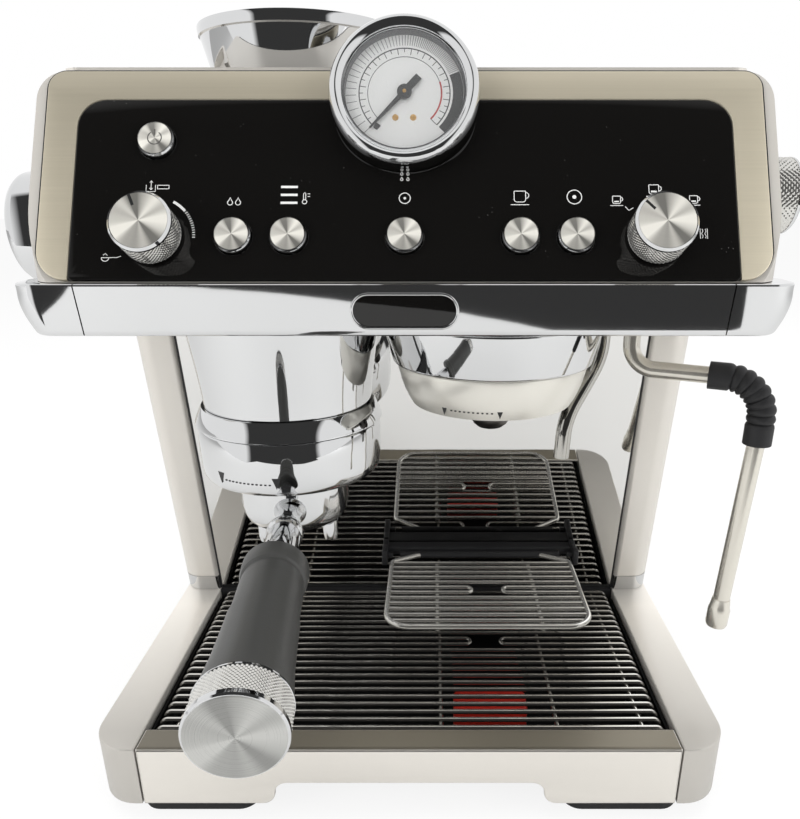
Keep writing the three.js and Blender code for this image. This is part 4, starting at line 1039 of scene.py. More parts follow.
@dataclass(frozen=True)
class Base:
    """The two steel casings, the dark chassis between them, the feet and the mains inlet."""

    corner: float = 22 * MM
    rear_corner: float = 12 * MM
    edge: float = 1.0 * MM
    foot_edge: float = 1.8 * MM
    foot_round: float = 0.45

    def build(self) -> None:
        """Builds the base."""
        for side in ("left", "right"):
            node = f"base_casing_{side}"
            box = Span.of(node)
            outer, inner = flanks(box, side)
            corners = [(outer, box.low.y), (inner, box.low.y), (inner, box.high.y), (outer, box.high.y)]
            outline = rounded(corners, [self.corner, 0.0, 0.0, self.rear_corner], 12)
            # The casings' finish paints a light gradient, lighter towards the rear.
            show(block(box, outline, self.edge), f"casing_{side}", CASING_STEEL_PAINTED_LIGHT, node)
            for node in (f"foot_front_{side}", f"foot_rear_{side}"):
                box = Span.of(node)
                foot = block(box, box.plan(box.size.y * self.foot_round), self.foot_edge)
                show(foot, f"{node}_rubber", RUBBER, node)
        dress("base_chassis", DARK_MOULDING, bevel=0.5 * MM)
        dress("power_inlet", DARK_MOULDING, bevel=0.3 * MM)


@dataclass(frozen=True)
class DripTray:
    """The tray with its steel front, the wire grille on it and the float that shows it is full."""

    wall: float = 3 * MM
    flange: float = 2 * MM
    corner: float = 0.6 * MM
    grip_half: float = 73 * MM
    grip_radius: float = 7 * MM
    grip_rise: float = 14.1 * MM
    edge: float = 0.8 * MM
    wire: float = 1.4 * MM
    wires: int = 23
    bend: float = 4 * MM
    tail: float = 7 * MM
    slot_wire: int = 12
    slot_half: float = 10 * MM
    weld_drop: float = 1.5 * MM
    carriers: tuple[float, ...] = (-129 * MM, -82 * MM, 17 * MM, 82 * MM, 129 * MM)

    def front(self) -> None:
        """The steel front with its raised middle and the flange on top."""
        box = Span.of("tray_front")
        half, height, grip = box.size.x / 2, box.size.z, self.grip_half
        corners = [(-half, 0.0), (-grip, 0.0), (-grip, self.grip_rise), (grip, self.grip_rise),
                   (grip, 0.0), (half, 0.0), (half, height), (-half, height)]
        e, r = self.corner, self.grip_radius
        outline = rounded(corners, [e, r, r, r, r, e, e, e], 8)
        place = frame_at(Vector((box.middle.x, box.low.y, box.low.z)), RIGHT, -BACK)
        draft = Draft().slab([outline], -self.wall, 0.0, self.edge, place)
        draft.slab([box.plan(self.edge)], box.high.z - self.flange, box.high.z, self.edge)
        # Its finish paints a dark shade on the flange's up-facing top.
        show(draft, "tray_face", TRAY_STEEL_PAINTED_TOP_SHADE, "tray_front", body=Body.DRIP_TRAY)

    def grille(self) -> None:
        """Round cross wires with bent ends, a finger slot and the carriers below."""
        box = Span.of("tray_grille")
        first, last = box.low.y + MM, box.high.y - MM
        pitch = (last - first) / (self.wires - 1)
        axis = box.high.z - self.wire * sqrt(0.5)
        foot, reach = axis - self.tail, box.size.x / 2 - self.wire
        middle, slot = box.middle.x, Span.of("tray_float").middle.x
        draft = Draft()
        for i in range(self.wires):
            y = first + i * pitch
            if i in (self.slot_wire, self.slot_wire + 1):
                continue
            ends = ((-1, foot), (-1, axis), (1, axis), (1, foot))
            corners = [Vector((middle + side * reach, y, z)) for side, z in ends]
            draft.sweep(round_path(corners, self.bend, 5), self.wire, 10)
        front = first + self.slot_wire * pitch
        rear = front + pitch
        for side in (-1, 1):
            end, tip = middle + side * reach, slot + side * self.slot_half
            corners = [Vector(p) for p in ((end, front, foot), (end, front, axis), (tip, front, axis),
                                           (tip, rear, axis), (end, rear, axis), (end, rear, foot))]
            radii = [0.0, self.bend, pitch / 2, pitch / 2, self.bend, 0.0]
            draft.sweep(round_path(corners, radii, 7), self.wire, 10)
        for offset in self.carriers:
            ends = [(middle + offset, y) for y in (box.low.y, box.high.y)]
            draft.sweep(lifted(ends, axis - self.weld_drop), self.wire, 10)
        show(draft, "grille_wires", WIRE_STEEL_PAINTED_HIGHLIGHT, "tray_grille", 40, body=Body.DRIP_GRILLE)

    def build(self) -> None:
        """Builds the tray."""
        self.front()
        self.grille()
        # The tub's near-black finish also carries painted shade under the grille.
        dress("tray_tub", TUB_BLACK_PAINTED_SHADE, bevel=0.4 * MM)
        box = Span.of("tray_float")
        draft = block(box, box.plan(3 * MM), 1.2 * MM)
        show(draft, "float_block", RED_FLOAT, "tray_float", body=Body.TRAY_FULL_FLOAT)


# ---- back


@dataclass(frozen=True)
class Back:
    """The two side panels with their rounded leaning columns, the mirror panel and the rear housing."""

    round_front: float = 18 * MM
    inner_corner: float = 3 * MM
    rear_corner: float = 12 * MM
    proud: float = 3 * MM
    collar: float = 11.7 * MM
    groove: float = 0.8 * MM
    groove_depth: float = 0.6 * MM
    seam: float = 1.1 * MM

    def side_panel(self, side: str, back: LeaningBack) -> None:
        """One side panel; its front edge is the column, which leans with the back panel.

        Args:
            side: left or right.
            back: The leaning plane.
        """
        node = f"side_panel_{side}"
        box = Span.of(node)
        outer, inner = flanks(box, side)
        inwards = 1 if side == "left" else -1
        radii = [self.round_front, self.inner_corner, 0.0, self.rear_corner]
        cut = box.low.z + self.collar
        top = cut + self.groove
        rings = []
        for z, depth in ((box.low.z, 0), (cut, 0), (cut, 1), (top, 1), (top, 0), (box.high.z, 0)):
            shrink = depth * self.groove_depth
            x, front = outer + inwards * shrink, back.face(z) - self.proud + shrink
            corners = [(x, front), (inner, front), (inner, box.high.y), (x, box.high.y - shrink)]
            rings.append(lifted(rounded(corners, radii, 12), z))
        seam = []
        for z in (box.low.z, box.high.z):
            across, face = inner + inwards * self.seam, back.face(z)
            near, far = face - 0.3 * MM, face + MM
            seam.append(lifted([(inner, near), (across, near), (across, far), (inner, far)], z))
        show(Draft().loft(rings[2:]), f"column_{side}", SATIN_STEEL, node)
        show(Draft().loft(rings[:2]), f"column_foot_{side}", CHROME)
        show(Draft().loft(seam), f"column_seam_{side}", DARK_MOULDING)

    def build(self, back: LeaningBack) -> None:
        """Builds the back.

        Args:
            back: The plane of the leaning back.
        """
        self.side_panel("left", back)
        self.side_panel("right", back)
        dress("back_panel", MIRROR)
        dress("rear_housing", DARK_MOULDING, bevel=0.5 * MM)


# ---- printed symbols


STROKES = (
    (1.1, (-56.0, 36.2), (-48.4, 36.2)), (1.1, (-56.0, 40.0), (-48.4, 40.0)),
    (1.1, (-56.0, 43.8), (-48.4, 43.8)),
    (0.3, (-45.7, 37.6), (-45.7, 40.6), (-45.2, 41.1), (-44.7, 40.6), (-44.7, 37.6)),
    (0.3, (-43.9, 39.2), (-42.8, 39.2)), (0.3, (-43.9, 40.5), (-42.8, 40.5)),
    (0.3, (-114.8, 46.6), (-114.8, 42.6)),
    (0.28, (-115.5, 45.9), (-114.8, 46.8), (-114.1, 45.9)),
    (0.28, (-115.5, 43.3), (-114.8, 42.4), (-114.1, 43.3)),
    (0.3, (-117.0, 44.8), (-117.0, 41.6), (-112.8, 41.6), (-112.8, 44.8)),
    (0.3, (-112.0, 44.6), (-106.6, 44.6)), (0.3, (-106.6, 42.9), (-112.0, 42.9)),
    (0.3, (-111.9, 42.9), (-111.9, 44.6)), (0.3, (-106.7, 42.9), (-106.7, 44.6)),
    (0.3, (-135.4, 10.3), (-131.9, 10.3), (-128.2, 10.4), (-126.6, 11.0)),
    (0.3, (-134.6, 11.4), (-133.6, 12.2), (-132.6, 11.4)),
    (0.4, (99.4, 34.4), (101.0, 32.6), (103.0, 33.8)), (0.4, (129.6, 22.4), (131.4, 21.8)),
    (0.3, (132.6, 19.2), (132.6, 24.0)), (0.3, (135.8, 19.2), (135.8, 24.0)),
    (0.3, (133.5, 19.4), (133.8, 20.5), (133.2, 21.6), (133.8, 22.7), (133.5, 23.8)),
    (0.3, (134.9, 19.4), (135.2, 20.5), (134.6, 21.6), (135.2, 22.7), (134.9, 23.8)),
)
RINGS = ((-45.2, 36.7, 1.0, 0.35), (0.0, 38.4, 2.5, 0.4), (76.6, 39.0, 3.3, 0.4))
DOTS = ((0.0, 38.4, 0.6), (76.6, 39.0, 0.9))
DROPS = ((-78.8, 36.3, 1.15), (-75.2, 36.3, 1.15), (-1.4, 47.4, 0.55), (1.4, 47.4, 0.55), (-1.4, 50.0, 0.55),
         (1.4, 50.0, 0.55))
CUPS = ((52.0, 39.2, 2.6, 0.0), (95.6, 37.6, 1.8, 0.35), (112.6, 42.6, 2.2, 0.35), (130.4, 37.8, 1.8, 0.35))
DIAL_CENTRE = (-113.0, 20.4)
PORTION = (-133.6, 10.3)


@dataclass(frozen=True)
class SymbolPrint:
    """Plain symbols printed on a plane: cups, drops, a scale, steam and temperature; all in millimetres."""

    place: Matrix
    height: float = 0.06 * MM
    pen: float = 0.35
    draft: Draft = field(default_factory=Draft)

    def line(self, points: Loop, width: float) -> None:
        """Prints a line."""
        outline = stroke(offsets(0.0, 0.0, *points), width * MM)
        self.draft.slab([outline], 0.0, self.height, 0.0, self.place)

    def disc(self, x: float, y: float, radii: Sequence[float], steps: int) -> None:
        """Prints a round spot, or a ring where two radii are given."""
        loops = [circle((x * MM, y * MM), radius * MM, steps) for radius in radii]
        self.draft.slab(loops, 0.0, self.height, 0.0, self.place)

    def cup(self, x: float, y: float, size: float, fill: float) -> None:
        """Prints a cup with a handle on its saucer.

        Args:
            x: Its middle.
            y: Its middle.
            size: Half its width.
            fill: Thickness of the mark in it as a share of the size.
        """
        left, right, top, foot, under = x - size, x + size, y + size, y - size, y - 1.5 * size
        corners = [(left, top), (left, foot), (right, foot), (right, top)]
        bowl = rounded(corners, [0.0, 0.5 * size, 0.5 * size, 0.0], 5, closed=False)
        handle = arc((right, y + 0.2 * size), 0.55 * size, 80, -80, 8)
        saucer = [(x - 1.6 * size, under), (x + 1.6 * size, under)]
        for points in (bowl, [(left, top), (right, top)], handle, saucer):
            self.line(points, self.pen)
        if fill > 0:
            level = y - 0.45 * size
            self.line([(x - 0.6 * size, level), (x + 0.6 * size, level)], fill * size)

    def drop(self, x: float, y: float, size: float) -> None:
        """Prints a water drop."""
        belly = arc((x, y), size, 125, 415, 14)
        self.line(belly + [(x, y + 2.1 * size), belly[0]], self.pen)

    def build(self) -> Draft:
        """All the symbols.

        Returns:
            The draft of the print.
        """
        for width, *points in STROKES:
            self.line(points, width)
        for x, y, radius, width in RINGS:
            self.disc(x, y, (radius + width / 2, radius - width / 2), 40)
        for x, y, radius in DOTS:
            self.disc(x, y, (radius,), 20)
        for drop in DROPS:
            self.drop(*drop)
        for cup in CUPS:
            self.cup(*cup)
        self.line(arc(DIAL_CENTRE, 18.4, 62, 40, 6), 1.2)
        for k in range(12):
            self.line([at_angle(DIAL_CENTRE, radius, 37 - 3.5 * k) for radius in (17.8, 19.1)], 0.4)
        self.line(arc(PORTION, 1.7, 180, 360, 10), 0.3)
        return self.draft


# ---- head, lip and control panel


@dataclass(frozen=True)
class Head:
    """The head with its brushed frame, the black glass and the printed symbols."""

    frame_wall: float = 2.5 * MM
    seam: float = 0.8 * MM
    gap: float = 0.3 * MM
    lower_corner: float = 14 * MM
    upper_corner: float = 8 * MM
    glass_corner: float = 13 * MM
    glass_foot: float = 2 * MM
    glass_edge: float = 0.4 * MM
    key_hole: float = 8.8 * MM
    knob_hole: float = 4.8 * MM
    edge: float = 0.6 * MM

    def steel_frame(self, panel: PanelPlane) -> None:
        """The brushed frame round the glass, open towards the lip, and the dark seam round it, which also
        paints the shadow along the frame's edge.

        Args:
            panel: The plane of the control panel.
        """
        half, inner = panel.half, panel.glass_half + self.gap
        top = panel.glass_rise + self.gap
        corners = [(-half, 0.0), (-inner, 0.0), (-inner, top), (inner, top), (inner, 0.0), (half, 0.0),
                   (half, panel.rise), (-half, panel.rise)]
        low, high, glass = self.lower_corner, self.upper_corner, self.glass_corner
        outline = rounded(corners, [low, 0.0, glass, glass, 0.0, low, high, high], 10)
        draft = Draft().slab([outline], -self.frame_wall, 0.0, self.edge, panel.place())
        # The frame's finish paints a light gradient across it.
        show(draft, "brushed_frame", BRUSHED_STEEL_PAINTED_LIGHT, "panel_frame")
        # A dark strip just outside the frame: a dark joint that also stands in for the shadow along the
        # frame's edge.
        loops = []
        for grow, foot in ((self.seam, 0.3 * MM), (-MM, 1.3 * MM)):
            round_by = max(grow, 0.0)
            radii = [low + round_by, low + round_by, high + round_by, high + round_by]
            loops.append(rectangle(-half - grow, half + grow, foot, panel.rise + grow, radii, 10))
        draft = Draft().slab(loops, -self.frame_wall, -0.9 * MM, 0.0, panel.place())
        show(draft, "frame_seam_and_shadow", DARK_MOULDING)

    def glass(self, panel: PanelPlane) -> None:
        """The black glass with a hole for each control.

        Args:
            panel: The plane of the control panel.
        """
        corner, half = self.glass_corner, panel.glass_half
        radii = [self.glass_foot, self.glass_foot, corner, corner]
        loops = [rectangle(-half, half, 0.0, panel.glass_rise, radii)]
        for controls, radius in ((Keys.BODIES, self.key_hole), (Knobs.CONTROLS, self.knob_hole)):
            loops += [circle(control_spot(panel, node).xy, radius, 48) for node in controls]
        draft = Draft().slab(loops, -self.frame_wall, 0.0, self.glass_edge, panel.place())
        show(draft, "glass_panel", BLACK_GLASS, "control_glass")

    def build(self, panel: PanelPlane) -> None:
        """Builds the head.

        Args:
            panel: The plane of the control panel.
        """
        dress("head_body", SATIN_STEEL, 38, bevel=0.8 * MM)
        self.steel_frame(panel)
        self.glass(panel)
        show(SymbolPrint(panel.place()).build(), "panel_symbols", WHITE_PRINT)


@dataclass(frozen=True)
class Lip:
    """The chrome band under the glass, fuller at its corners, with a bare oval plate in the middle."""

    wall: float = 3.5 * MM
    tuck: float = 4 * MM
    flare: float = 7 * MM
    corner: float = 22 * MM
    seam_x: float = 147 * MM
    seam: float = 0.3 * MM
    edge: float = 0.9 * MM
    levels: int = 12
    plate_half: float = 24.6 * MM
    plate_rise: float = 8.6 * MM
    plate_proud: float = 1.3 * MM
    plate_rim: float = 1.5 * MM
    plate_round: float = 0.995

    def ring(self, box: Span, half: float, share: float, shrink: float) -> Path3:
        """The outline of the band at one height.

        Args:
            box: The band's box.
            half: Half the width of the head behind it.
            share: Height from 0 at the lower edge to 1 at the upper.
            shrink: How far the face is drawn in for the rounded edges.

        Returns:
            The points of the outline, face first and then the inner side.
        """
        x0, rear = box.middle.x, box.high.y
        out, r = half + self.flare - shrink, self.corner + self.flare - shrink
        front, side = box.low.y + shrink, half - shrink
        corners = [(-side, rear), (-out, front + r), (-out, front), (out, front), (out, front + r),
                   (side, rear)]
        face = rounded(corners, [0.0, r, r, r, r, 0.0], 14, closed=False)
        inner, r = half - self.wall, self.corner - self.wall
        front = box.low.y + self.wall + self.tuck
        corners = [(inner, rear), (inner, front), (-inner, front), (-inner, rear)]
        back = rounded(corners, [0.0, r, r, 0.0], 14, closed=False)
        fullness = sin(min(1.0, 0.15 + share) * 0.62 * pi)
        z = box.low.z + share * box.size.z
        points = []
        for x, y in face:
            beyond = max(0.0, abs(x) - self.seam_x) / (half + self.flare - self.seam_x)
            x -= copysign(beyond * self.flare * (1 - fullness), x)
            lean = self.tuck * (1 - share) if y < box.low.y + self.corner else 0.0
            points.append((x0 + x, y + lean))
        return lifted(points + [(x0 + x, y) for x, y in back], z)

    def build(self) -> None:
        """Builds the band in three lengths and its plate."""
        box = Span.of("lip")
        half = Span.of("head_body").size.x / 2
        steps = [(0.0, 1.0), (0.012, 0.45), (0.04, 0.0)]
        steps += [(0.04 + 0.92 * k / self.levels, 0.0) for k in range(1, self.levels)]
        steps += [(0.96, 0.0), (0.988, 0.45), (1.0, 1.0)]
        rings = [self.ring(box, half, share, rounding * self.edge) for share, rounding in steps]
        left, right = (Vector((box.middle.x + side * self.seam_x, 0, 0)) for side in (-1, 1))
        gap = RIGHT * self.seam
        band = Draft().loft(rings)
        show(band, "lip_middle", CHROME, "lip", 30, cut=[(right - gap, RIGHT), (left + gap, -RIGHT)])
        show(band, "lip_left", CHROME, angle=30, cut=[(left - gap, RIGHT)])
        show(band, "lip_right", CHROME, angle=30, cut=[(right + gap, -RIGHT)])
        self.plate(box)

    def plate(self, box: Span) -> None:
        """The bare oval plate with its domed rim.

        Args:
            box: The plate's box in the frame.
        """
        lean = atan2(self.tuck, box.size.z)
        out = Vector((0.0, -cos(lean), -sin(lean)))
        place = frame_at(Vector((box.middle.x, box.low.y + self.tuck / 2, box.middle.z)), RIGHT, out)
        loops = []
        for rim in (0.0, self.plate_rim):
            w, h = self.plate_half - rim, self.plate_rise - rim
            loops.append(rectangle(-w, w, -h, h, h * self.plate_round, 20))
        rim_ring = Draft().slab(loops, -MM, self.plate_proud, 0.7 * MM, place)
        show(rim_ring, "plate_rim", CHROME)
        field_disc = Draft().slab(loops[1:], -MM, 0.5 * MM, 0.0, place)
        show(field_disc, "plate_field", BLACK_GLASS)


# ---- keys and knobs


KNURL_SINK = 0.02 * MM


def control_spot(panel: PanelPlane, node: str) -> Vector:
    """The panel's own coordinates of a control's axis."""
    turning = Knobs.CONTROLS.get(node)
    return panel.local(Vector(joint(turning[1])["pos_m"]) if turning else Span.of(node).middle)


@dataclass(frozen=True)
class Keys:
    """The six round keys: a turned face in a polished rim."""

    BODIES: ClassVar[dict[str, Body]] = {
        **{f"button_{k}": Body[f"KEY_{k}"] for k in range(1, 6)}, "button_power": Body.POWER_KEY}
    radius: float = 8.5 * MM
    proud: float = 3 * MM
    depth: float = 5 * MM
    rim: float = 0.85 * MM

    def build(self, panel: PanelPlane) -> None:
        """Builds each key.

        Args:
            panel: The plane of the control panel.
        """
        r, top, inner = self.radius, self.proud, self.radius - self.rim
        rim = [(r, -self.depth), *offsets(r, top, (0, -1.5), (-0.25, -0.9), (-0.8, -0.25)),
               *offsets(inner, top, (0, 0), (-0.15, -0.25))]
        face = [*offsets(inner, top, (-0.2, -0.5), (-0.2, -0.12), (-0.4, -0.02)), (0.0, top - 0.10 * MM)]
        for node, body in self.BODIES.items():
            spot = control_spot(panel, node)
            place = panel.place(spot.x, spot.y)
            show(Draft().lathe(rim, 72), f"{node}_rim", CHROME, node, 40, place, body)
            show(Draft().lathe(face, 72), f"{node}_face", TURNED, "", 40, place, body)
        low, high = top - 0.2 * MM, top - 0.03 * MM
        sign = Draft().slab([stroke(arc((0, 0), 3.1 * MM, -235, 55, 36), 0.5 * MM)], low, high)
        sign.slab([rectangle(-0.25 * MM, 0.25 * MM, 1.3 * MM, 4.1 * MM)], low, high)
        show(sign, "power_sign", KNURLED, "", 40, place, Body.POWER_KEY)


def knurl(radius: float, low: float, high: float, depth: float, around: int) -> Draft:
    """A band of diamond knurling about the local Z axis, open at both ends.

    Args:
        radius: Radius of the surface that it lies just under.
        low: Lower end of the band.
        high: Upper end of the band.
        depth: Depth of the grooves.
        around: Diamonds in one turn.

    Returns:
        Its draft.
    """
    rows = (high - low) / (2 * pi * radius / around)
    columns, lines = around * 4, max(2, round(rows * 4))
    points: Path3 = []
    for j in range(lines + 1):
        z, along = low + (high - low) * j / lines, rows * j / lines
        for i in range(columns):
            turn = around * i / columns
            waves = [abs(sin(pi * (turn + side * along))) for side in (1, -1)]
            r = radius - KNURL_SINK - depth * (0.75 * (1 - min(waves)) + 0.25 * (1 - max(waves)))
            points.append(turn_point(r, 2 * pi * i / columns, z))
    return Draft().add(points, strips([range(j * columns, (j + 1) * columns) for j in range(lines + 1)]))


@dataclass(frozen=True)
class Knobs:
    """The two knurled knobs on the glass and the one for the steam, each with a turned face."""

    CONTROLS: ClassVar[dict[str, tuple[Body, str, float]]] = {
        "knob_left": (Body.GRIND_KNOB, "turn_grind_knob", 112.0),
        "knob_right": (Body.FUNCTION_KNOB, "turn_function_knob", 135.0),
    }
    low: float = 0.3 * MM
    collar: float = 1.6 * MM
    rim: float = 2.2 * MM
    groove: float = 0.6 * MM
    diamonds: int = 46
    stem: float = 4 * MM
    steam_stem: float = 5 * MM
    notch_length: float = 5.2 * MM
    notch_width: float = 1.3 * MM

    def knob(self, name: str, place: Matrix, radius: float, top: float, stem: Point2, body: Body,
             pointer: float) -> None:
        """One knob about the local Z axis.

        Args:
            name: The frame node that it stands for.
            place: Its place.
            radius: Its radius.
            top: Height of its face.
            stem: Radius and lower end of the stem.
            body: The body that it turns with.
            pointer: Direction of the pointer in degrees.
        """
        foot, rim = self.low + self.collar, top - self.rim
        profile = [stem, (stem[0], self.low), *offsets(radius, self.low, (-0.6, 0), (0, 0.5)), (radius, foot),
                   *offsets(radius, foot, (-0.5, 0.1)), *offsets(radius, rim, (-0.5, 0), (0, 0.1)),
                   *offsets(radius, top, (0, -1), (-0.9, 0), (-1.2, -0.15))]
        show(Draft().lathe(profile), f"{name}_body", CHROME, name, 30, place, body)
        band = knurl(radius, foot, rim, self.groove, self.diamonds)
        show(band, f"{name}_knurl", KNURLED, "", 12, place, body)
        flat, half = radius - 1.25 * MM, self.notch_width / 2
        gap = degrees(asin(half / flat))
        a = radians(pointer)
        along, across = Vector((cos(a), sin(a))), Vector((-sin(a), cos(a)))
        deep = along * (flat - self.notch_length)
        outline = arc((0, 0), flat, pointer + gap, pointer + 360 - gap, 96)
        outline += [tuple(deep - across * half), tuple(deep + across * half)]
        face = Draft().slab([outline], top - 0.5 * MM, top - 0.03 * MM)
        show(face, f"{name}_face", TURNED, "", 30, place, body)

    def build(self, panel: PanelPlane) -> None:
        """Builds the three knobs.

        Args:
            panel: The plane of the control panel.
        """
        for node, (body, _, pointer) in self.CONTROLS.items():
            heights = [panel.local(point).z for point in points_of(node)]
            spot = control_spot(panel, node)
            self.knob(node, panel.place(spot.x, spot.y), Span.of(node).size.x / 2, max(heights),
                      (self.stem, min(heights)), body, pointer)
        box = Span.of("steam_knob")
        wall = Span.of("head_body").high.x
        place = frame_at(Vector((wall, box.middle.y, box.middle.z)), BACK, RIGHT)
        self.knob("steam_knob", place, box.size.y / 2, box.high.x - wall, (self.steam_stem, box.low.x - wall),
                  Body.STEAM_TAP, 90.0)


# ---- pressure gauge


@dataclass(frozen=True)
class Gauge:
    """The pressure gauge: a chrome bezel, a printed dial, the needle and the glass."""

    radius: float = 34 * MM
    dial: float = 27 * MM
    dial_depth: float = 7 * MM
    glass_depth: float = 2.6 * MM
    neck: float = 14 * MM
    scale: float = 20.4 * MM
    inner: float = 16.5 * MM
    outer_low: float = 21.7 * MM
    outer_high: float = 26.4 * MM
    sweep_start: float = 225.0
    sweep_end: float = -45.0
    red_start: float = 18.0
    divisions: int = 30
    print_height: float = 0.05 * MM
    first_gap: float = 9.4
    last_gap: float = 1.9
    gap_ratio: float = 0.952
    needle_turn: float = 136.6
    needle_length: float = 22.6 * MM
    needle_tail: float = 9.4 * MM
    hub: float = 3.3 * MM
    screws: tuple[float, ...] = (-4.1 * MM, 3.9 * MM)
    screw_drop: float = 11.1 * MM

    def place(self) -> Matrix:
        """The gauge's axis, with z = 0 on the face of the dial.

        Returns:
            The matrix from the gauge to the frame.
        """
        swing = joint("swing_needle")
        out = Vector(swing["axis"]).normalized()
        glass = max(point.dot(out) for point in points_of("gauge_bezel"))
        origin = Vector(swing["pos_m"])
        return frame_at(origin + out * (glass - self.dial_depth - origin.dot(out)), RIGHT, out)

    def bezel(self, place: Matrix) -> None:
        """The chrome cup with a broad sloping ring round the glass, and the dark wall inside.

        Args:
            place: The gauge's matrix.
        """
        local = [place.inverted() @ point for point in points_of("gauge_bezel")]
        low = min(point.z for point in local if point.xy.length > self.radius - 3 * MM)
        rim, r, d = self.dial_depth, self.radius, self.dial
        profile = [*offsets(r, low, (-1.4, 0), (-0.4, 0.5), (0, 1.5)),
                   *offsets(r, rim, (0, -5.4), (-0.3, -3.6), (-1.2, -1.6), (-2.4, -0.4), (-3.4, 0),
                            (-4.3, -0.35)),
                   *offsets(d, rim, (1.6, -1.5), (0.9, -2.0), (0.7, -2.6), (0.3, -2.8)),
                   *offsets(d, 0, (0.3, -0.9))]
        draft = Draft().lathe(profile, 144).lathe(offsets(self.neck, low, (0, -9), (0, 1)), 48)
        show(draft, "bezel_cup", CHROME, "gauge_bezel", 34, place)
        wall = [*offsets(d, 0, (0.25, -0.5)), *offsets(d, rim, (0.25, -2.9), (-0.35, -3.0)),
                *offsets(d, 0, (-0.5, 0.3), (-0.5, -0.5))]
        draft = Draft().lathe(wall, 144, closed=True)
        show(draft, "gauge_wall", GAUGE_WALL, "", 40, place)

    def marks(self, place: Matrix) -> None:
        """The printed scale: a ring with ticks, grey lines outside it, a red arc and a dark band.

        Args:
            place: The gauge's matrix.
        """
        inks = {DIAL_INK: Draft(), DIAL_GREY: Draft(), DIAL_RED: Draft()}
        start, end, red, height = self.sweep_start, self.sweep_end, self.red_start, self.print_height

        def line(ink: Finish, points: Loop, width: float) -> None:
            """Prints one line."""
            inks[ink].slab([stroke(points, width * MM)], 0.0, height)

        def spoke(ink: Finish, angle: float, low: float, high: float, width: float) -> None:
            """Prints one radial line."""
            line(ink, [at_angle((0, 0), radius, angle) for radius in (low, high)], width)

        line(DIAL_INK, arc((0, 0), self.scale, start, end, 72), 0.5)
        line(DIAL_INK, arc((0, 0), self.inner, start, red, 72), 0.28)
        line(DIAL_RED, arc((0, 0), self.inner + 0.1 * MM, red, end, 72), 0.75)
        for k in range(self.divisions + 1):
            length = 1.8 * MM if k % 2 else 2.9 * MM
            spoke(DIAL_INK, start + (end - start) / self.divisions * k, self.scale - length, self.scale, 0.32)
        for angle in (end, start):
            spoke(DIAL_INK, angle, self.inner, self.scale, 0.28)
        angle, gap = start, self.first_gap
        while angle > red + 6:
            spoke(DIAL_GREY, angle, self.outer_low, self.outer_high, 0.26)
            angle -= gap
            gap = max(self.last_gap, gap * self.gap_ratio)
        band = arc((0, 0), self.outer_low, red + 4, end, 30) + arc((0, 0), self.outer_high, end, red + 4, 30)
        inks[DIAL_INK].slab([band], 0.0, height)
        stop = offsets(0, 0, (-12.6, -13.4), (-14.0, -15.6), (-12.4, -16.8), (-10.6, -14.9))
        inks[DIAL_INK].slab([rounded(stop, 0.3 * MM, 3)], 0.0, 0.5 * MM)
        for ink, draft in inks.items():
            show(draft, f"scale_{ink.name}", ink, "", 40, place)

    def needle(self, place: Matrix) -> None:
        """The needle with its round hub, its tail and its pin.

        Args:
            place: The gauge's matrix.
        """
        tip, tail = self.needle_length, -self.needle_tail
        outline = [*offsets(0, tip, (-0.32, 0)), *offsets(0, 0, (-1.0, 3.4)),
                   *arc((0, 0), self.hub, 108, 242, 14), *offsets(0, tail, (-1.6, 0), (1.6, 0)),
                   *arc((0, 0), self.hub, -62, 72, 14), *offsets(0, 0, (1.0, 3.4)),
                   *offsets(0, tip, (0.32, 0))]
        turn = Matrix.Rotation(radians(self.needle_turn), 4, "Z")
        blade = Draft().slab([outline], 0.9 * MM, 1.9 * MM, 0.12 * MM, turn)
        show(blade, "needle_blade", NEEDLE_BLACK, "gauge_needle", 30, place, Body.PRESSURE_NEEDLE)
        cap = offsets(0, 0, (0.9, 1.8), (0.8, 2.3), (0, 2.5))
        show(Draft().lathe(cap, 24), "needle_pin", BRASS, "", 30, place, Body.PRESSURE_NEEDLE)

    def build(self) -> None:
        """Builds the gauge."""
        place = self.place()
        self.bezel(place)
        disc = offsets(self.dial, 0, (0, -1.2), (0, 0))
        show(Draft().lathe(disc), "dial_disc", DIAL_FACE, "gauge_dial", 40, place)
        self.marks(place)
        screws = Draft()
        for x in self.screws:
            dome = offsets(0, 0, (1.45, 0), (1.3, 0.45), (0.8, 0.75), (0, 0.85))
            screws.lathe(dome, 24, Matrix.Translation((x, -self.screw_drop, 0.0)))
            slot = rectangle(x - 0.95 * MM, x + 0.95 * MM, -11.28 * MM, -10.92 * MM)
            screws.slab([slot], 0.5 * MM, 0.95 * MM)
        show(screws, "gauge_screws", BRASS, "", 30, place)
        self.needle(place)
        z, r = self.dial_depth - self.glass_depth, self.dial
        glass = [*offsets(r, z, (0, -0.5), (0, 0.3)), (r * 0.5, z + 0.8 * MM), (0.0, z + 0.95 * MM)]
        show(Draft().lathe(glass), "gauge_window", GAUGE_GLASS, "gauge_glass", 40, place)


# ---- tamping station and lever


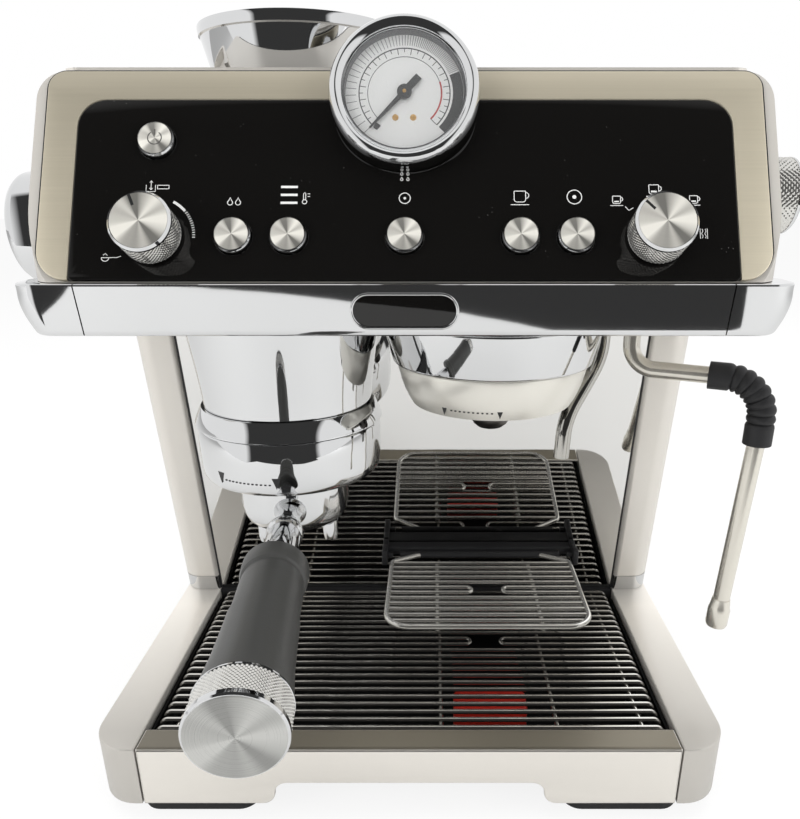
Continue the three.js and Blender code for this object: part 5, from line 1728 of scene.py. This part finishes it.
@dataclass(frozen=True)
class PositionMarks:
    """Two printed triangles and a dotted line, laid round a turned surface; sizes in millimetres."""

    ends: Point2
    size: float
    dots: Point2
    count: int
    dot: tuple[float, float, float]
    thickness: float = 0.5 * MM

    def build(self, name: str, axis: Matrix, radius: float, height: float) -> None:
        """Prints the marks.

        Args:
            name: Name of the piece.
            axis: The surface's axis.
            radius: Radius of the surface.
            height: Height that y = 0 takes; x runs along the surface from the front, to the right.
        """
        s = self.size
        shapes = [[(x, -s), (x + 0.75 * s, s), (x - 0.75 * s, s)] for x in self.ends]
        half, foot, top = self.dot
        for k in range(self.count):
            x = self.dots[0] + (self.dots[1] - self.dots[0]) * k / (self.count - 1)
            shapes.append(rectangle(x - half, x + half, foot, top))
        draft = Draft()
        for shape in shapes:
            draft.slab([offsets(0, 0, *shape)], 0.0, self.thickness)

        def wrapped(point: Vector) -> Vector:
            """A point of the flat print on the turned surface."""
            out, turn = radius + point.z, point.x / radius
            return axis @ Vector((out * sin(turn), -out * cos(turn), height + point.y))

        show(draft.warp(wrapped), name, DARK_PRINT, angle=30)


@dataclass(frozen=True)
class TampingStation:
    """The sleeve, band and bayonet collar that the filter holder hangs in, and the tamper inside."""

    top: float = 52 * MM
    waist: float = 46 * MM
    band: float = 47.5 * MM
    collar: float = 50.5 * MM
    bore: float = 38 * MM
    mouth: float = 33 * MM
    shelf: float = 3 * MM
    flare: float = 1.25
    levels: tuple[float, ...] = (0.0, 0.1, 0.2, 0.35, 0.5, 0.65, 0.8, 0.92, 1.0)
    marks: PositionMarks = PositionMarks((-31.5, 1.0), 3.0, (-28.0, -2.5), 12, (0.55, -1.0, -0.4))

    def build(self, back: LeaningBack) -> None:
        """Builds the station.

        Args:
            back: The plane of the leaning back.
        """
        box, bore, c, r = Span.of("station_collar"), self.bore, self.collar, self.band
        low, high = box.low.z, box.high.z
        trim = back.trim(high)
        axis = Span.of("tamper").axis
        shelf = low + self.shelf
        curve = [(-3.4, 0), (-2.2, 0.5), (-1.3, 1.7), (-0.7, 3.6), (-0.3, 7), (-0.1, 12), (0, 18)]
        collar = [(self.mouth, low), *offsets(c, low, *curve),
                  *offsets(c, high, (0, -1.2), (-0.4, -0.4), (-1.1, 0)),
                  (bore, high), (bore, shelf), (self.mouth, shelf)]
        box = Span.of("station_band")
        band = [(bore, box.low.z), *offsets(c, box.low.z, (0.4, 0), (1.0, 0.4), (1.0, 1.2)),
                *offsets(r, box.high.z, (0.4, -0.6), (0, -0.1), (-1.0, 0)), (bore, box.high.z)]
        box = Span.of("station_sleeve")
        widen = self.top - self.waist
        sleeve = [(self.waist + widen * t ** self.flare, box.low.z + box.size.z * t) for t in self.levels]
        sleeve = [(bore, box.low.z), *sleeve, (bore, box.high.z)]
        for name, part, profile in (("collar_ring", "collar", collar), ("band_ring", "band", band),
                                    ("sleeve_shell", "sleeve", sleeve)):
            shell = Draft().lathe(profile, 144, axis, closed=True)
            show(shell, name, CHROME, f"station_{part}", 30, cut=trim)
        self.marks.build("station_marks", axis, c - 0.5 * MM, low + 8 * MM)
        dress("tamper", KNURLED, bevel=0.5 * MM)


@dataclass(frozen=True)
class Lever:
    """The tamping lever: a turned hub on the left side, a flat arm and a soft grip."""

    hub: float = 27 * MM
    reach: float = 20 * MM
    gap: float = 0.3 * MM
    arm_width: float = 16 * MM
    arm_wall: float = 7 * MM
    arm_length: float = 118 * MM
    inward: float = 7.4 * MM
    grip_length: float = 58 * MM
    grip_half: float = 11 * MM
    grip_wall: float = 14 * MM
    grip_sink: float = 0.6 * MM

    def build(self) -> None:
        """Builds the lever."""
        centre = Vector(joint("pull_tamp_lever")["pos_m"])
        grip_middle = Span.of("lever_grip").middle
        along = Vector((0.0, grip_middle.y - centre.y, grip_middle.z - centre.z)).normalized()
        place = frame_at(Vector((Span.of("head_body").low.x - self.gap, centre.y, centre.z)), along, -RIGHT)
        r, top = self.hub, self.reach
        profile = [*offsets(r, 0, (-1, 0), (0, 1)), *offsets(
            r, top, (0, -6.5), (-0.5, -4.6), (-2.2, -2.4), (-5.5, -0.8), (-9, -0.2), (-10, 0), (-11, -0.6))]
        half, low = self.arm_width / 2, top - self.inward
        outline = rectangle(-half, self.arm_length, -half, half, half - 0.8 * MM, 10)
        draft = Draft().lathe(profile).slab([outline], low, low + self.arm_wall, 1.6 * MM)
        show(draft, "lever_hub", CHROME, "lever_arm", 30, place, Body.TAMP_LEVER)
        end, long = (grip_middle - centre).length, self.grip_length / 2
        outline = rectangle(end - long, end + long, -self.grip_half, self.grip_half, 7 * MM, 10)
        high = top - self.grip_sink
        grip = Draft().slab([outline], high - self.grip_wall, high, 3.2 * MM, steps=6)
        show(grip, "lever_handle", CHARCOAL, "lever_grip", 30, place, Body.TAMP_LEVER)


# ---- brew group and filter holder


@dataclass(frozen=True)
class BrewGroup:
    """The chrome shroud, the steel ring with its marks, the shower screen and the hot water spout."""

    shroud: float = 60 * MM
    bore: float = 34.5 * MM
    ring_top: float = 51.5 * MM
    ring_foot: float = 44.5 * MM
    screen: float = 27 * MM
    spout: float = 4.6 * MM
    spout_bend: float = 34 * MM
    draw_in: float = 6 * MM
    marks: PositionMarks = PositionMarks((-28.0, 1.0), 3.4, (-24.0, -3.0), 10, (0.5, -0.9, -0.3))

    def build(self, back: LeaningBack) -> None:
        """Builds the group.

        Args:
            back: The plane of the leaning back.
        """
        box, screen_box = Span.of("group_shroud"), Span.of("shower_screen")
        centre, r, rear = screen_box.middle, self.shroud, box.high.y + 4 * MM
        outline = [(centre.x - r, rear), *arc(centre, r, 180, 360, 48), (centre.x + r, rear)]
        loops = [outline, circle(centre, self.bore, 72)]
        draft = Draft().slab(loops, box.low.z, box.high.z, 1.4 * MM, steps=5)
        draft.warp(lambda point: self.narrowed(point, centre, box))
        show(draft, "shroud_shell", CHROME, "group_shroud", 30, cut=back.trim(box.high.z))
        axis = screen_box.axis
        box, bore, f = Span.of("group_ring"), self.bore, self.ring_foot
        low, high = box.low.z, box.high.z
        ring = [(bore, low),
                *offsets(f, low, (-1.5, 0), (-0.5, 0.3), (0, 1.2), (1.6, 4), (3.4, 8), (5.2, 13)),
                *offsets(self.ring_top, high, (0, -2.2), (0, -0.5), (-0.6, 0)), (bore, high)]
        draft = Draft().lathe(ring, 144, axis, closed=True)
        show(draft, "ring_body", RING_STEEL, "group_ring", 30, cut=back.trim(low))
        self.marks.build("group_marks", axis, f + 1.9 * MM, low + 5.4 * MM)
        base, s = screen_box.low.z, self.screen
        nose = [(0, 0), (4, 0.2), (7, 1.2), (9.4, 3.2), (11, 6), (12.4, 11), (13, 17), (14, 23)]
        dome = [*offsets(0, base, *nose), *offsets(s, base, (-2, 26), (0, 27.5), (0, 30.6), (-1.4, 31.6)),
                *offsets(0, base, (20, 33)), *offsets(0, screen_box.high.z, (20, 0))]
        show(Draft().lathe(dome, 72, axis), "screen_dome", SCREEN_DARK, "shower_screen", 30)
        self.water(Span.of("water_spout"))

    def narrowed(self, point: Vector, centre: Vector, box: Span) -> Vector:
        """Draws the outer wall of the shroud in towards its foot.

        Args:
            point: A point of the straight shroud.
            centre: Middle of the group.
            box: The shroud's box.

        Returns:
            The point's new place.
        """
        away = Vector((point.x - centre.x, min(0.0, point.y - centre.y), 0.0))
        if away.length < self.bore + 4 * MM:
            return point
        return point - away.normalized() * self.draw_in * (box.high.z - point.z) / box.size.z

    def water(self, box: Span) -> None:
        """The hot water spout: a tube that bends back under the group and ends in an open mouth.

        Args:
            box: The spout's box in the frame.
        """
        r, bend = self.spout, self.spout_bend
        x0, x1, y0, y1 = box.high.x - r, box.low.x + r, box.high.y - r, box.low.y + r
        z0, drop = box.high.z, box.size.z
        corners = [Vector((x0, y0, z0)), Vector((x0, y0, z0 - 0.32 * drop)),
                   Vector((x1 + MM, y1, z0 - 0.72 * drop)), Vector((x1, y1, box.low.z))]
        draft = Draft().sweep(round_path(corners, [0.0, bend, bend, 0.0], 10), r, 24)
        show(draft, "water_tube", PIPE_STEEL, "water_spout", 40)


@dataclass(frozen=True)
class FilterHolder:
    """The filter holder: a chrome cup with lugs and two spouts, the basket, the neck and the handle."""

    bowl: float = 31 * MM
    bowl_depth: float = 40 * MM
    basket: float = 27 * MM
    basket_depth: float = 24 * MM
    basket_proud: float = 1.3 * MM
    axis_drop: float = 24 * MM
    slope: float = 2.0
    grip_start: float = 89 * MM
    grip_end: float = 180 * MM
    handle_end: float = 197.3 * MM
    cap: float = 18.3 * MM
    cap_gap: float = 0.3 * MM
    diamonds: int = 70
    lug_reach: float = 6 * MM
    lug_wall: float = 4 * MM
    lug_turns: Point2 = (-45.0, 135.0)
    spread: float = 19 * MM
    spout: float = 4.6 * MM

    def cup(self, lay: Matrix) -> Draft:
        """The chrome cup with its lugs, its neck along the handle and its two spouts.

        Args:
            lay: The matrix from the handle's axis to the frame.

        Returns:
            The draft of the cup.
        """
        b, floor, s = self.bowl, -self.bowl_depth, self.spout
        bowl = [*offsets(b, floor, (-9, 0), (-5, 0.8), (-2.4, 3), (-0.7, 7), (0, 12)),
                *offsets(b, 0, (0, -0.6), (-0.5, 0), (-2.2, 0)), *offsets(b, floor, (-2.2, 11)),
                *offsets(0, floor, (0, 5))]
        draft = Draft().lathe(bowl, 128)
        lug = arc((0, 0), b + self.lug_reach, -13, 13, 10) + arc((0, 0), b - 0.8 * MM, 13, -13, 10)
        for turn in self.lug_turns:
            place = Matrix.Rotation(radians(turn), 4, "Z")
            draft.slab([lug], -MM - self.lug_wall, -MM, 0.6 * MM, place)
        neck = offsets(0, b, (9.4, -3), (8.6, -0.5), (7.2, 2.5), (6.3, 6), (6.0, 11), (6.3, 15), (7.6, 18.5),
                       (9.2, 21), (9.7, 23), (9.2, 25.2), (8.4, 26.5), (8.8, 28))
        draft.lathe(neck + offsets(0, self.grip_start, (8.8, 4)), 64, lay)
        half, deep = self.spread + 4 * MM, 5.6 * MM
        bridge = rectangle(-half, half, -deep, deep, 5.4 * MM, 10)
        draft.slab([bridge], floor - 6 * MM, floor + 1.5 * MM, 2.4 * MM, steps=5)
        tube = offsets(s, floor, (0, -4), (0, -9), (-0.1, -13), (-0.8, -16), (-1.7, -16), (-1.5, -10),
                       (-1.5, -4))
        for side in (-1, 1):
            draft.lathe(tube, 40, Matrix.Translation((side * self.spread, 0, 0)), closed=True)
        return draft

    def build(self) -> None:
        """Builds the holder in its own directions: x across, -y along the handle, z up."""
        basket = Span.of("filter_basket")
        origin = Vector((basket.middle.x, basket.middle.y, basket.high.z - self.basket_proud))
        handle = Span.of("portafilter_cap").middle - origin
        place = frame_at(origin, Vector((-handle.y, handle.x, 0.0)), UP)
        tilt = Matrix.Rotation(radians(90 + self.slope), 4, "X")
        lay = Matrix.Translation((0, 0, -self.axis_drop)) @ tilt
        body, along = Body.FILTER_HOLDER, place @ lay
        show(self.cup(lay), "holder_cup", CHROME, "portafilter", 30, place, body)
        r, depth = self.basket, -self.basket_depth
        dish = [*offsets(r, depth, (-3, 0), (-1, 0.8), (0, 2.6)),
                *offsets(r, 0, (0, 0.3), (3.2, 0.3), (3.4, 0.8)),
                *offsets(r, self.basket_proud, (3.2, 0), (-0.4, 0), (-0.9, -0.6)),
                *offsets(r, depth, (-0.9, 3), (-2.6, 1.2))]
        show(Draft().lathe(dish), "basket_dish", WIRE_STEEL_PAINTED_HIGHLIGHT, "filter_basket", 30, place, body)
        grip = offsets(0, self.grip_start, (8.9, 0.2), (13.0, 0), (14.8, 0.5), (15.6, 2.0), (15.7, 6),
                       (15.5, 10.5), (14.9, 12.6), (13.9, 13.6), (13.8, 14.6), (14.2, 16.5), (14.4, 22),
                       (14.6, 44), (15.3, 44.6), (15.5, 55), (16.2, 74), (17.2, 86))
        grip += offsets(0, self.grip_end, (17.4, -0.8), (16.8, 0), (8.9, 0))
        show(Draft().lathe(grip, closed=True), "handle_grip", CHARCOAL, "portafilter_grip", 25, along, body)
        low, end, r = self.grip_end + self.cap_gap, self.handle_end, self.cap
        collar = [*offsets(r, low, (-1.4, 0), (-0.2, 0.4), (0, 1.4), (-0.5, 1.7)),
                  *offsets(r, end, (-0.5, -3.4), (0, -3.1), (0, -1.2), (-0.5, -0.5), (-1.0, -0.4)),
                  (0.0, end - 0.5 * MM)]
        show(Draft().lathe(collar), "cap_body", CHROME, "portafilter_cap", 30, along, body)
        band = knurl(r, low + 1.7 * MM, end - 3.4 * MM, 0.6 * MM, self.diamonds)
        show(band, "cap_knurl", KNURLED, "", 12, along, body)
        disc = [*offsets(r, end, (-0.9, -1.0), (-0.9, -0.35), (-1.2, -0.1)), (0.0, end - 0.05 * MM)]
        show(Draft().lathe(disc), "cap_face", CAP_TURNED, "", 30, along, body)


# ---- steam wand


@dataclass(frozen=True)
class SteamWand:
    """The steam wand: a socket under the head, the pipe, a ribbed rubber sleeve and the hanging tube."""

    pipe: float = 4.5 * MM
    sleeve: float = 7.2 * MM
    rib: float = 1.3 * MM
    rib_pitch: float = 4.5 * MM
    rib_power: float = 0.6
    cuff: float = 9.5 * MM
    stretch: float = 0.4 * MM
    sleeve_start: float = 37 * MM
    overlap: float = 4 * MM
    nozzle: float = 6 * MM
    nozzle_length: float = 18 * MM

    def radius(self, distance: float, length: float) -> float:
        """The sleeve's radius: plain cuffs at the ends and rings between them.

        Args:
            distance: Way along the sleeve.
            length: The sleeve's length.

        Returns:
            The radius.
        """
        if not self.cuff < distance < length - self.cuff:
            return self.sleeve
        run = length - 2 * self.cuff
        phase = (distance - self.cuff) / run * round(run / self.rib_pitch)
        return self.sleeve - self.rib * (1 - abs(cos(pi * phase)) ** self.rib_power)

    def build(self) -> None:
        """Builds the wand."""
        socket, tube, sleeve = Span.of("steam_socket"), Span.of("wand_tube"), Span.of("wand_sleeve")
        swivel = Vector((socket.middle.x, socket.middle.y, 0.0))
        low, top = socket.low.z, socket.high.z
        cup = [*offsets(0, low, (6.4, 0), (8.4, 1.6), (9.4, 4)),
               *offsets(0, top, (11.6, -2.6), (12, -1.6), (12, 0))]
        show(Draft().lathe(cup, 64, socket.axis), "socket_cup", CHROME, "steam_socket", 30)
        hang_x, hang_y = sleeve.high.x - self.sleeve, tube.middle.y
        full, level, end = hang_x - swivel.x, sleeve.high.z - self.sleeve, sleeve.low.z
        lean = (swivel.y - hang_y) / full

        def along(reach: float, z: float) -> Vector:
            """A point above the line from the swivel to the hanging tube."""
            return Vector((swivel.x + reach, swivel.y - reach * lean, z))

        corners = [along(0.0, low - 0.3 * MM), along(0.0, level),
                   along(self.sleeve_start + self.overlap, level)]
        elbow = Draft().sweep(round_path(corners, [0.0, 13 * MM, 0.0], 12), self.pipe, 28)
        show(elbow, "wand_elbow", WAND_STEEL, "wand_pipe", 40, body=Body.STEAM_WAND)
        corners = [along(self.sleeve_start, level), along(full, level), along(full, end)]
        bent = round_path(corners, [0.0, 19 * MM, 0.0], 40)
        path = bent[:1]
        for start, point in zip(bent, bent[1:]):
            count = max(1, round((point - start).length / self.stretch))
            path += [start.lerp(point, (k + 1) / count) for k in range(count)]
        length = sum((b - a).length for a, b in zip(path, path[1:]))
        ribbed = Draft().sweep(path, lambda distance: self.radius(distance, length), 32)
        show(ribbed, "sleeve_rubber", RUBBER, "wand_sleeve", 40, body=Body.STEAM_WAND)
        start = Vector((hang_x, hang_y, end + 6 * MM))
        tip = Vector((tube.low.x + self.nozzle, hang_y, tube.low.z + 0.5 * MM))
        direction = (tip - start).normalized()
        n, long = self.nozzle, self.nozzle_length
        profile = [*offsets(0, 0, (0, 0.6), (2, 0)), *offsets(n, 0, (-1.8, 0), (-0.6, -0.5), (0, -2.2)),
                   (n, -long * 0.62), (n - 0.5 * MM, -long * 0.72), (self.pipe + 0.3 * MM, -long)]
        draft = Draft().sweep([start, tip - direction * 10 * MM], self.pipe, 28)
        draft.lathe(profile, 48, frame_at(tip, BACK, direction))
        show(draft, "wand_nozzle", WAND_STEEL, "wand_tube", 30, body=Body.STEAM_WAND)


# ---- cup shelf


@dataclass(frozen=True)
class CupShelf:
    """The folding cup shelf: a thick bent wire with thin cross wires, and its black carrier."""

    rim: float = 1.8 * MM
    wire: float = 1.35 * MM
    corner: float = 14 * MM
    bend: float = 4 * MM
    leg: float = 20 * MM
    hinge: float = 3 * MM
    hinge_behind: float = 11 * MM
    half_limit: float = 60.5 * MM
    wires: int = 12
    slot_half: float = 10 * MM
    weld_drop: float = 1.5 * MM
    bar_half: float = 3.0 * MM
    ear_width: float = 3.6 * MM
    ear_share: float = 0.62
    pin: float = 2 * MM
    carriers: tuple[float, ...] = (-30 * MM, 32 * MM)

    def build(self, back_panel: LeaningBack) -> None:
        """Builds the shelf.

        Args:
            back_panel: The plane of the leaning back.
        """
        box = Span.of("cup_shelf")
        hinge = Vector(joint("fold_shelf")["pos_m"])
        slot = Span.of("tray_float").middle.x
        half = min(box.size.x / 2, self.half_limit)
        x0, x1 = box.middle.x - half, box.middle.x + half
        front, back, z = box.low.y + self.rim, hinge.y - self.hinge_behind, hinge.z
        corners = [(x0 + self.leg, hinge.y), (x0, back), (x0, front), (x1, front), (x1, back),
                   (x1 - self.leg, hinge.y)]
        radii = [0.0, self.bend, self.corner, self.corner, self.bend, 0.0]
        draft = Draft().sweep(round_path(lifted(corners, z), radii, 10), self.rim, 16)
        pitch = (back - front - self.rim) / self.wires
        middle = round(self.wires / 2)
        for i in range(1, self.wires + 1):
            if i in (middle, middle + 1):
                continue
            inward, y = self.bend if i == 1 else 0.0, front + i * pitch
            draft.sweep(lifted([(x0 + inward, y), (x1 - inward, y)], z), self.wire, 10)
        y0, y1 = front + middle * pitch, front + (middle + 1) * pitch
        for side, end in ((-1, x0), (1, x1)):
            tip = slot + side * self.slot_half
            corners = lifted([(end, y0), (tip, y0), (tip, y1), (end, y1)], z)
            draft.sweep(round_path(corners, [0.0, pitch / 2, pitch / 2, 0.0], 8), self.wire, 10)
        for offset in self.carriers:
            x = box.middle.x + offset
            draft.sweep(lifted([(x, front), (x, back)], z - self.weld_drop), self.wire, 10)
        show(draft, "shelf_wires", SHELF_STEEL_PAINTED_HIGHLIGHT, "cup_shelf", 40, body=Body.FOLDING_SHELF)
        rod = lifted([(x0 + 5 * MM, hinge.y), (x1 - 5 * MM, hinge.y)], z)
        rod_draft = Draft().sweep(rod, self.hinge * 0.8, 24)
        show(rod_draft, "shelf_rod", DARK_MOULDING, "", 40, body=Body.FOLDING_SHELF)
        self.carrier(hinge, back_panel)

    def carrier(self, hinge: Vector, back: LeaningBack) -> None:
        """The black carrier: a slim bar on the back panel with an ear at each end.

        Args:
            hinge: A point on the hinge's axis.
            back: The leaning plane.
        """
        box = Span.of("shelf_carrier")
        y, z, half, wide, length = hinge.y, hinge.z, self.bar_half, self.ear_width, box.size.x
        low, high = (z + (end - z) * self.ear_share for end in (box.low.z, box.high.z))
        front, nose = y + self.hinge + 1.8 * MM, 2 * self.hinge
        ear_front = front + 2 * MM
        place = frame_at(RIGHT * box.low.x, BACK, RIGHT)

        def seat(level: float) -> Point2:
            """The point just behind the back panel's face at a height."""
            return back.face(level) - 0.3 * MM, level

        bar = [(front, z - half), seat(z - half), seat(z + half), (front, z + half)]
        draft = Draft().slab([rounded(bar, 1.2 * MM, 4)], MM, length - MM, 0.0, place)
        ear = [(y - nose, z - nose), (ear_front, low + MM), seat(low), seat(high), (ear_front, high - MM),
               (y - nose, z + nose)]
        for start in (0.0, length - wide):
            draft.slab([rounded(ear, 1.5 * MM, 5)], start, start + wide, 0.6 * MM, place)
        pin, reach = circle((y, z), self.pin, 20), wide * 1.5
        for start in (self.pin, length - self.pin - reach):
            draft.slab([pin], start, start + reach, 0.0, place)
        show(draft, "carrier_bar", DARK_MOULDING, "shelf_carrier", 30)


# ---- top and tank


@dataclass(frozen=True)
class Top:
    """The cup warmer with its rail, the bean hopper with its lid, the burr and the water tank."""

    foot: float = 46 * MM
    rim: float = 55 * MM
    wall: float = 3 * MM
    throat: float = 23 * MM

    def build(self) -> None:
        """Builds the top."""
        dress("top_cover", SATIN_STEEL, 38, bevel=0.5 * MM)
        box, lid = Span.of("hopper"), Span.of("hopper_lid")
        axis, inner = box.axis, self.rim - self.wall
        low, high, f, r = box.low.z, box.high.z, self.foot, self.rim
        seat = lid.low.z - 0.3 * MM
        brim = [(-1.6, -6.4), (-1.5, -6), (-0.5, -5.4), (-0.1, -3), (0, -1.2), (-0.4, -0.3), (-1.2, 0)]
        cone = [(self.throat, low), *offsets(f, low, (-0.8, 0), (0, 0.6), (3, 9)), *offsets(r, high, *brim),
                (inner, high), *offsets(inner, seat, (0, 0), (-2, 0)), *offsets(f - self.wall, low, (0, 12)),
                *offsets(self.throat, low, (0, 5))]
        show(Draft().lathe(cone, 144, axis, closed=True), "hopper_cone", CHROME, "hopper", 30)
        low, high, r = lid.low.z, lid.high.z, lid.size.x / 2
        cover_profile = [*offsets(r, low, (-0.6, 0), (0, 0.6)), *offsets(r, high, (0, -0.8), (-0.8, 0)),
                         *offsets(0, high, (15, 0), (13.6, -0.4), (12, -1.8), (0, -1.9))]
        draft = Draft().lathe(cover_profile, place=axis)
        show(draft, "bean_cover", SMOKED, "hopper_lid", 30, body=Body.BEAN_LID)
        dress("grinder_cone", KNURLED, 20)
        dress("water_tank", SMOKED, 30, bevel=0.5 * MM)
        dress("tank_lid", DARK_MOULDING, 30, bevel=0.5 * MM)


# ---- studio


@dataclass(frozen=True)
class Lamp:
    """One soft lamp over the table."""

    name: str
    place: tuple[float, float, float]
    aim: tuple[float, float, float]
    size: float
    power: float

    def build(self) -> None:
        """Adds the lamp; metal shows the room and not the lamp itself."""
        data = bpy.data.lights.new(self.name, "AREA")
        data.shape = "DISK"
        data.size = self.size
        data.energy = self.power
        lamp = placed(self.name, data)
        lamp.location = self.place
        lamp.rotation_euler = (Vector(self.aim) - Vector(self.place)).to_track_quat("-Z", "Y").to_euler()
        lamp.visible_glossy = False


@dataclass(frozen=True)
class Studio:
    """The white table, the room round it, the lamps and the camera."""

    table: tuple[Point2, ...] = (
        (-9.0, -0.40), (-0.535, -0.50), (-0.475, -0.72), (-0.22, -0.685), (-0.09, -0.655), (0.05, -0.625),
        (0.16, -0.58), (0.40, -0.575), (0.45, -0.70), (9.0, -0.66), (9.0, 12.0), (-9.0, 12.0))
    paper_color: Color = (0.71, 0.71, 0.705)
    glow_share: float = 0.80
    glow: float = 1.06
    ambient: float = 0.72
    room_dark: float = 0.045
    camera_offset: tuple[float, float, float] = (13.2 * MM, -480 * MM, 323.6 * MM)
    pitch: float = 20.0
    focal_share: float = 707.6 / 819.0
    shift: tuple[float, float] = (-0.0415, 0.0562)
    lamps: tuple[Lamp, ...] = (
        Lamp("lamp_left", (-1.35, -1.15, 0.80), (0.0, 0.0, 0.15), 1.1, 15.0),
        Lamp("lamp_right", (1.45, -1.05, 0.75), (0.0, 0.0, 0.15), 1.1, 14.0),
        Lamp("lamp_over", (0.0, -0.45, 1.9), (0.0, 0.0, 0.2), 1.2, 12.0),
        Lamp("lamp_back", (0.2, 1.5, 1.5), (0.0, 0.1, 0.2), 1.0, 10.0),
    )

    def floor(self) -> None:
        """A plain white table that keeps the shadow."""
        mesh = bpy.data.meshes.new("table")
        mesh.from_pydata(lifted(self.table, 0.0), [], [tuple(range(len(self.table)))])
        table = placed("table", mesh)
        material = bpy.data.materials.new("table_paper")
        graph = new_graph(material)
        grain = graph.noise(graph.place(), 30.0, 2.0)
        tone = graph.mix(grain, self.paper_color, toned(self.paper_color, 1.01))
        paper = graph.node("ShaderNodeBsdfDiffuse", None, {"Color": tone})
        light = graph.node("ShaderNodeEmission", None, {"Color": WHITE, "Strength": self.glow})
        camera = graph.value(graph.node("ShaderNodeLightPath"), "Is Camera Ray")
        graph.surface(graph.blend(camera * self.glow_share, paper, light))
        mesh.materials.append(material)

    def world(self) -> None:
        """A white room; polished metal and glass also see its dark end in front of the table."""
        world = bpy.data.worlds.new("white_room")
        SCENE.world = world
        graph = new_graph(world)
        x, y, _ = graph.split(graph.node("ShaderNodeTexCoord").outputs["Generated"])
        aside = (x * x) ** 0.5
        dark = y.between(-0.10, -0.24) * (1 - aside.between(0.62, 0.70))
        mirror = 1.0 - dark * (1 - self.room_dark)
        path = graph.node("ShaderNodeLightPath")
        rays = ("Camera", "Glossy", "Transmission")
        camera, glossy, clear = (graph.value(path, f"Is {ray} Ray") for ray in rays)
        seen = (camera + clear).clipped()
        level = seen + (1 - seen) * (glossy * mirror + (1 - glossy) * self.ambient)
        shine = graph.node("ShaderNodeBackground", None, {"Color": WHITE, "Strength": level})
        graph.node("ShaderNodeOutputWorld", None, {"Surface": shine.outputs[0]})

    def camera(self) -> None:
        """The camera in front of the machine, looking a little down."""
        left, right = Span.of("base_casing_left"), Span.of("base_casing_right")
        data = bpy.data.cameras.new("camera")
        data.sensor_fit = "VERTICAL"
        data.sensor_height = 36.0
        data.lens = data.sensor_height * self.focal_share
        data.shift_x, data.shift_y = self.shift
        data.clip_start, data.clip_end = 0.01, 100.0
        camera = placed("camera", data)
        centre = Vector(((left.low.x + right.high.x) / 2, (left.low.y + right.high.y) / 2, 0.0))
        camera.location = centre + Vector(self.camera_offset)
        camera.rotation_euler = (radians(90 - self.pitch), 0.0, 0.0)
        SCENE.camera = camera

    def build(self) -> None:
        """Builds the studio."""
        self.camera()
        self.floor()
        self.world()
        for lamp in self.lamps:
            lamp.build()
        SCENE.view_settings.view_transform = "Standard"


# ---- the whole machine


def main() -> None:
    """Builds every sub-assembly in order."""
    Studio().build()
    panel = PanelPlane()
    back = LeaningBack()
    Base().build()
    DripTray().build()
    Back().build(back)
    Head().build(panel)
    Lip().build()
    Keys().build(panel)
    Knobs().build(panel)
    Gauge().build()
    TampingStation().build(back)
    Lever().build()
    BrewGroup().build(back)
    FilterHolder().build()
    SteamWand().build()
    CupShelf().build(back)
    Top().build()
    bpy.context.view_layer.update()
    LOG.info("boxes written")


if __name__ == "__main__":
    main()
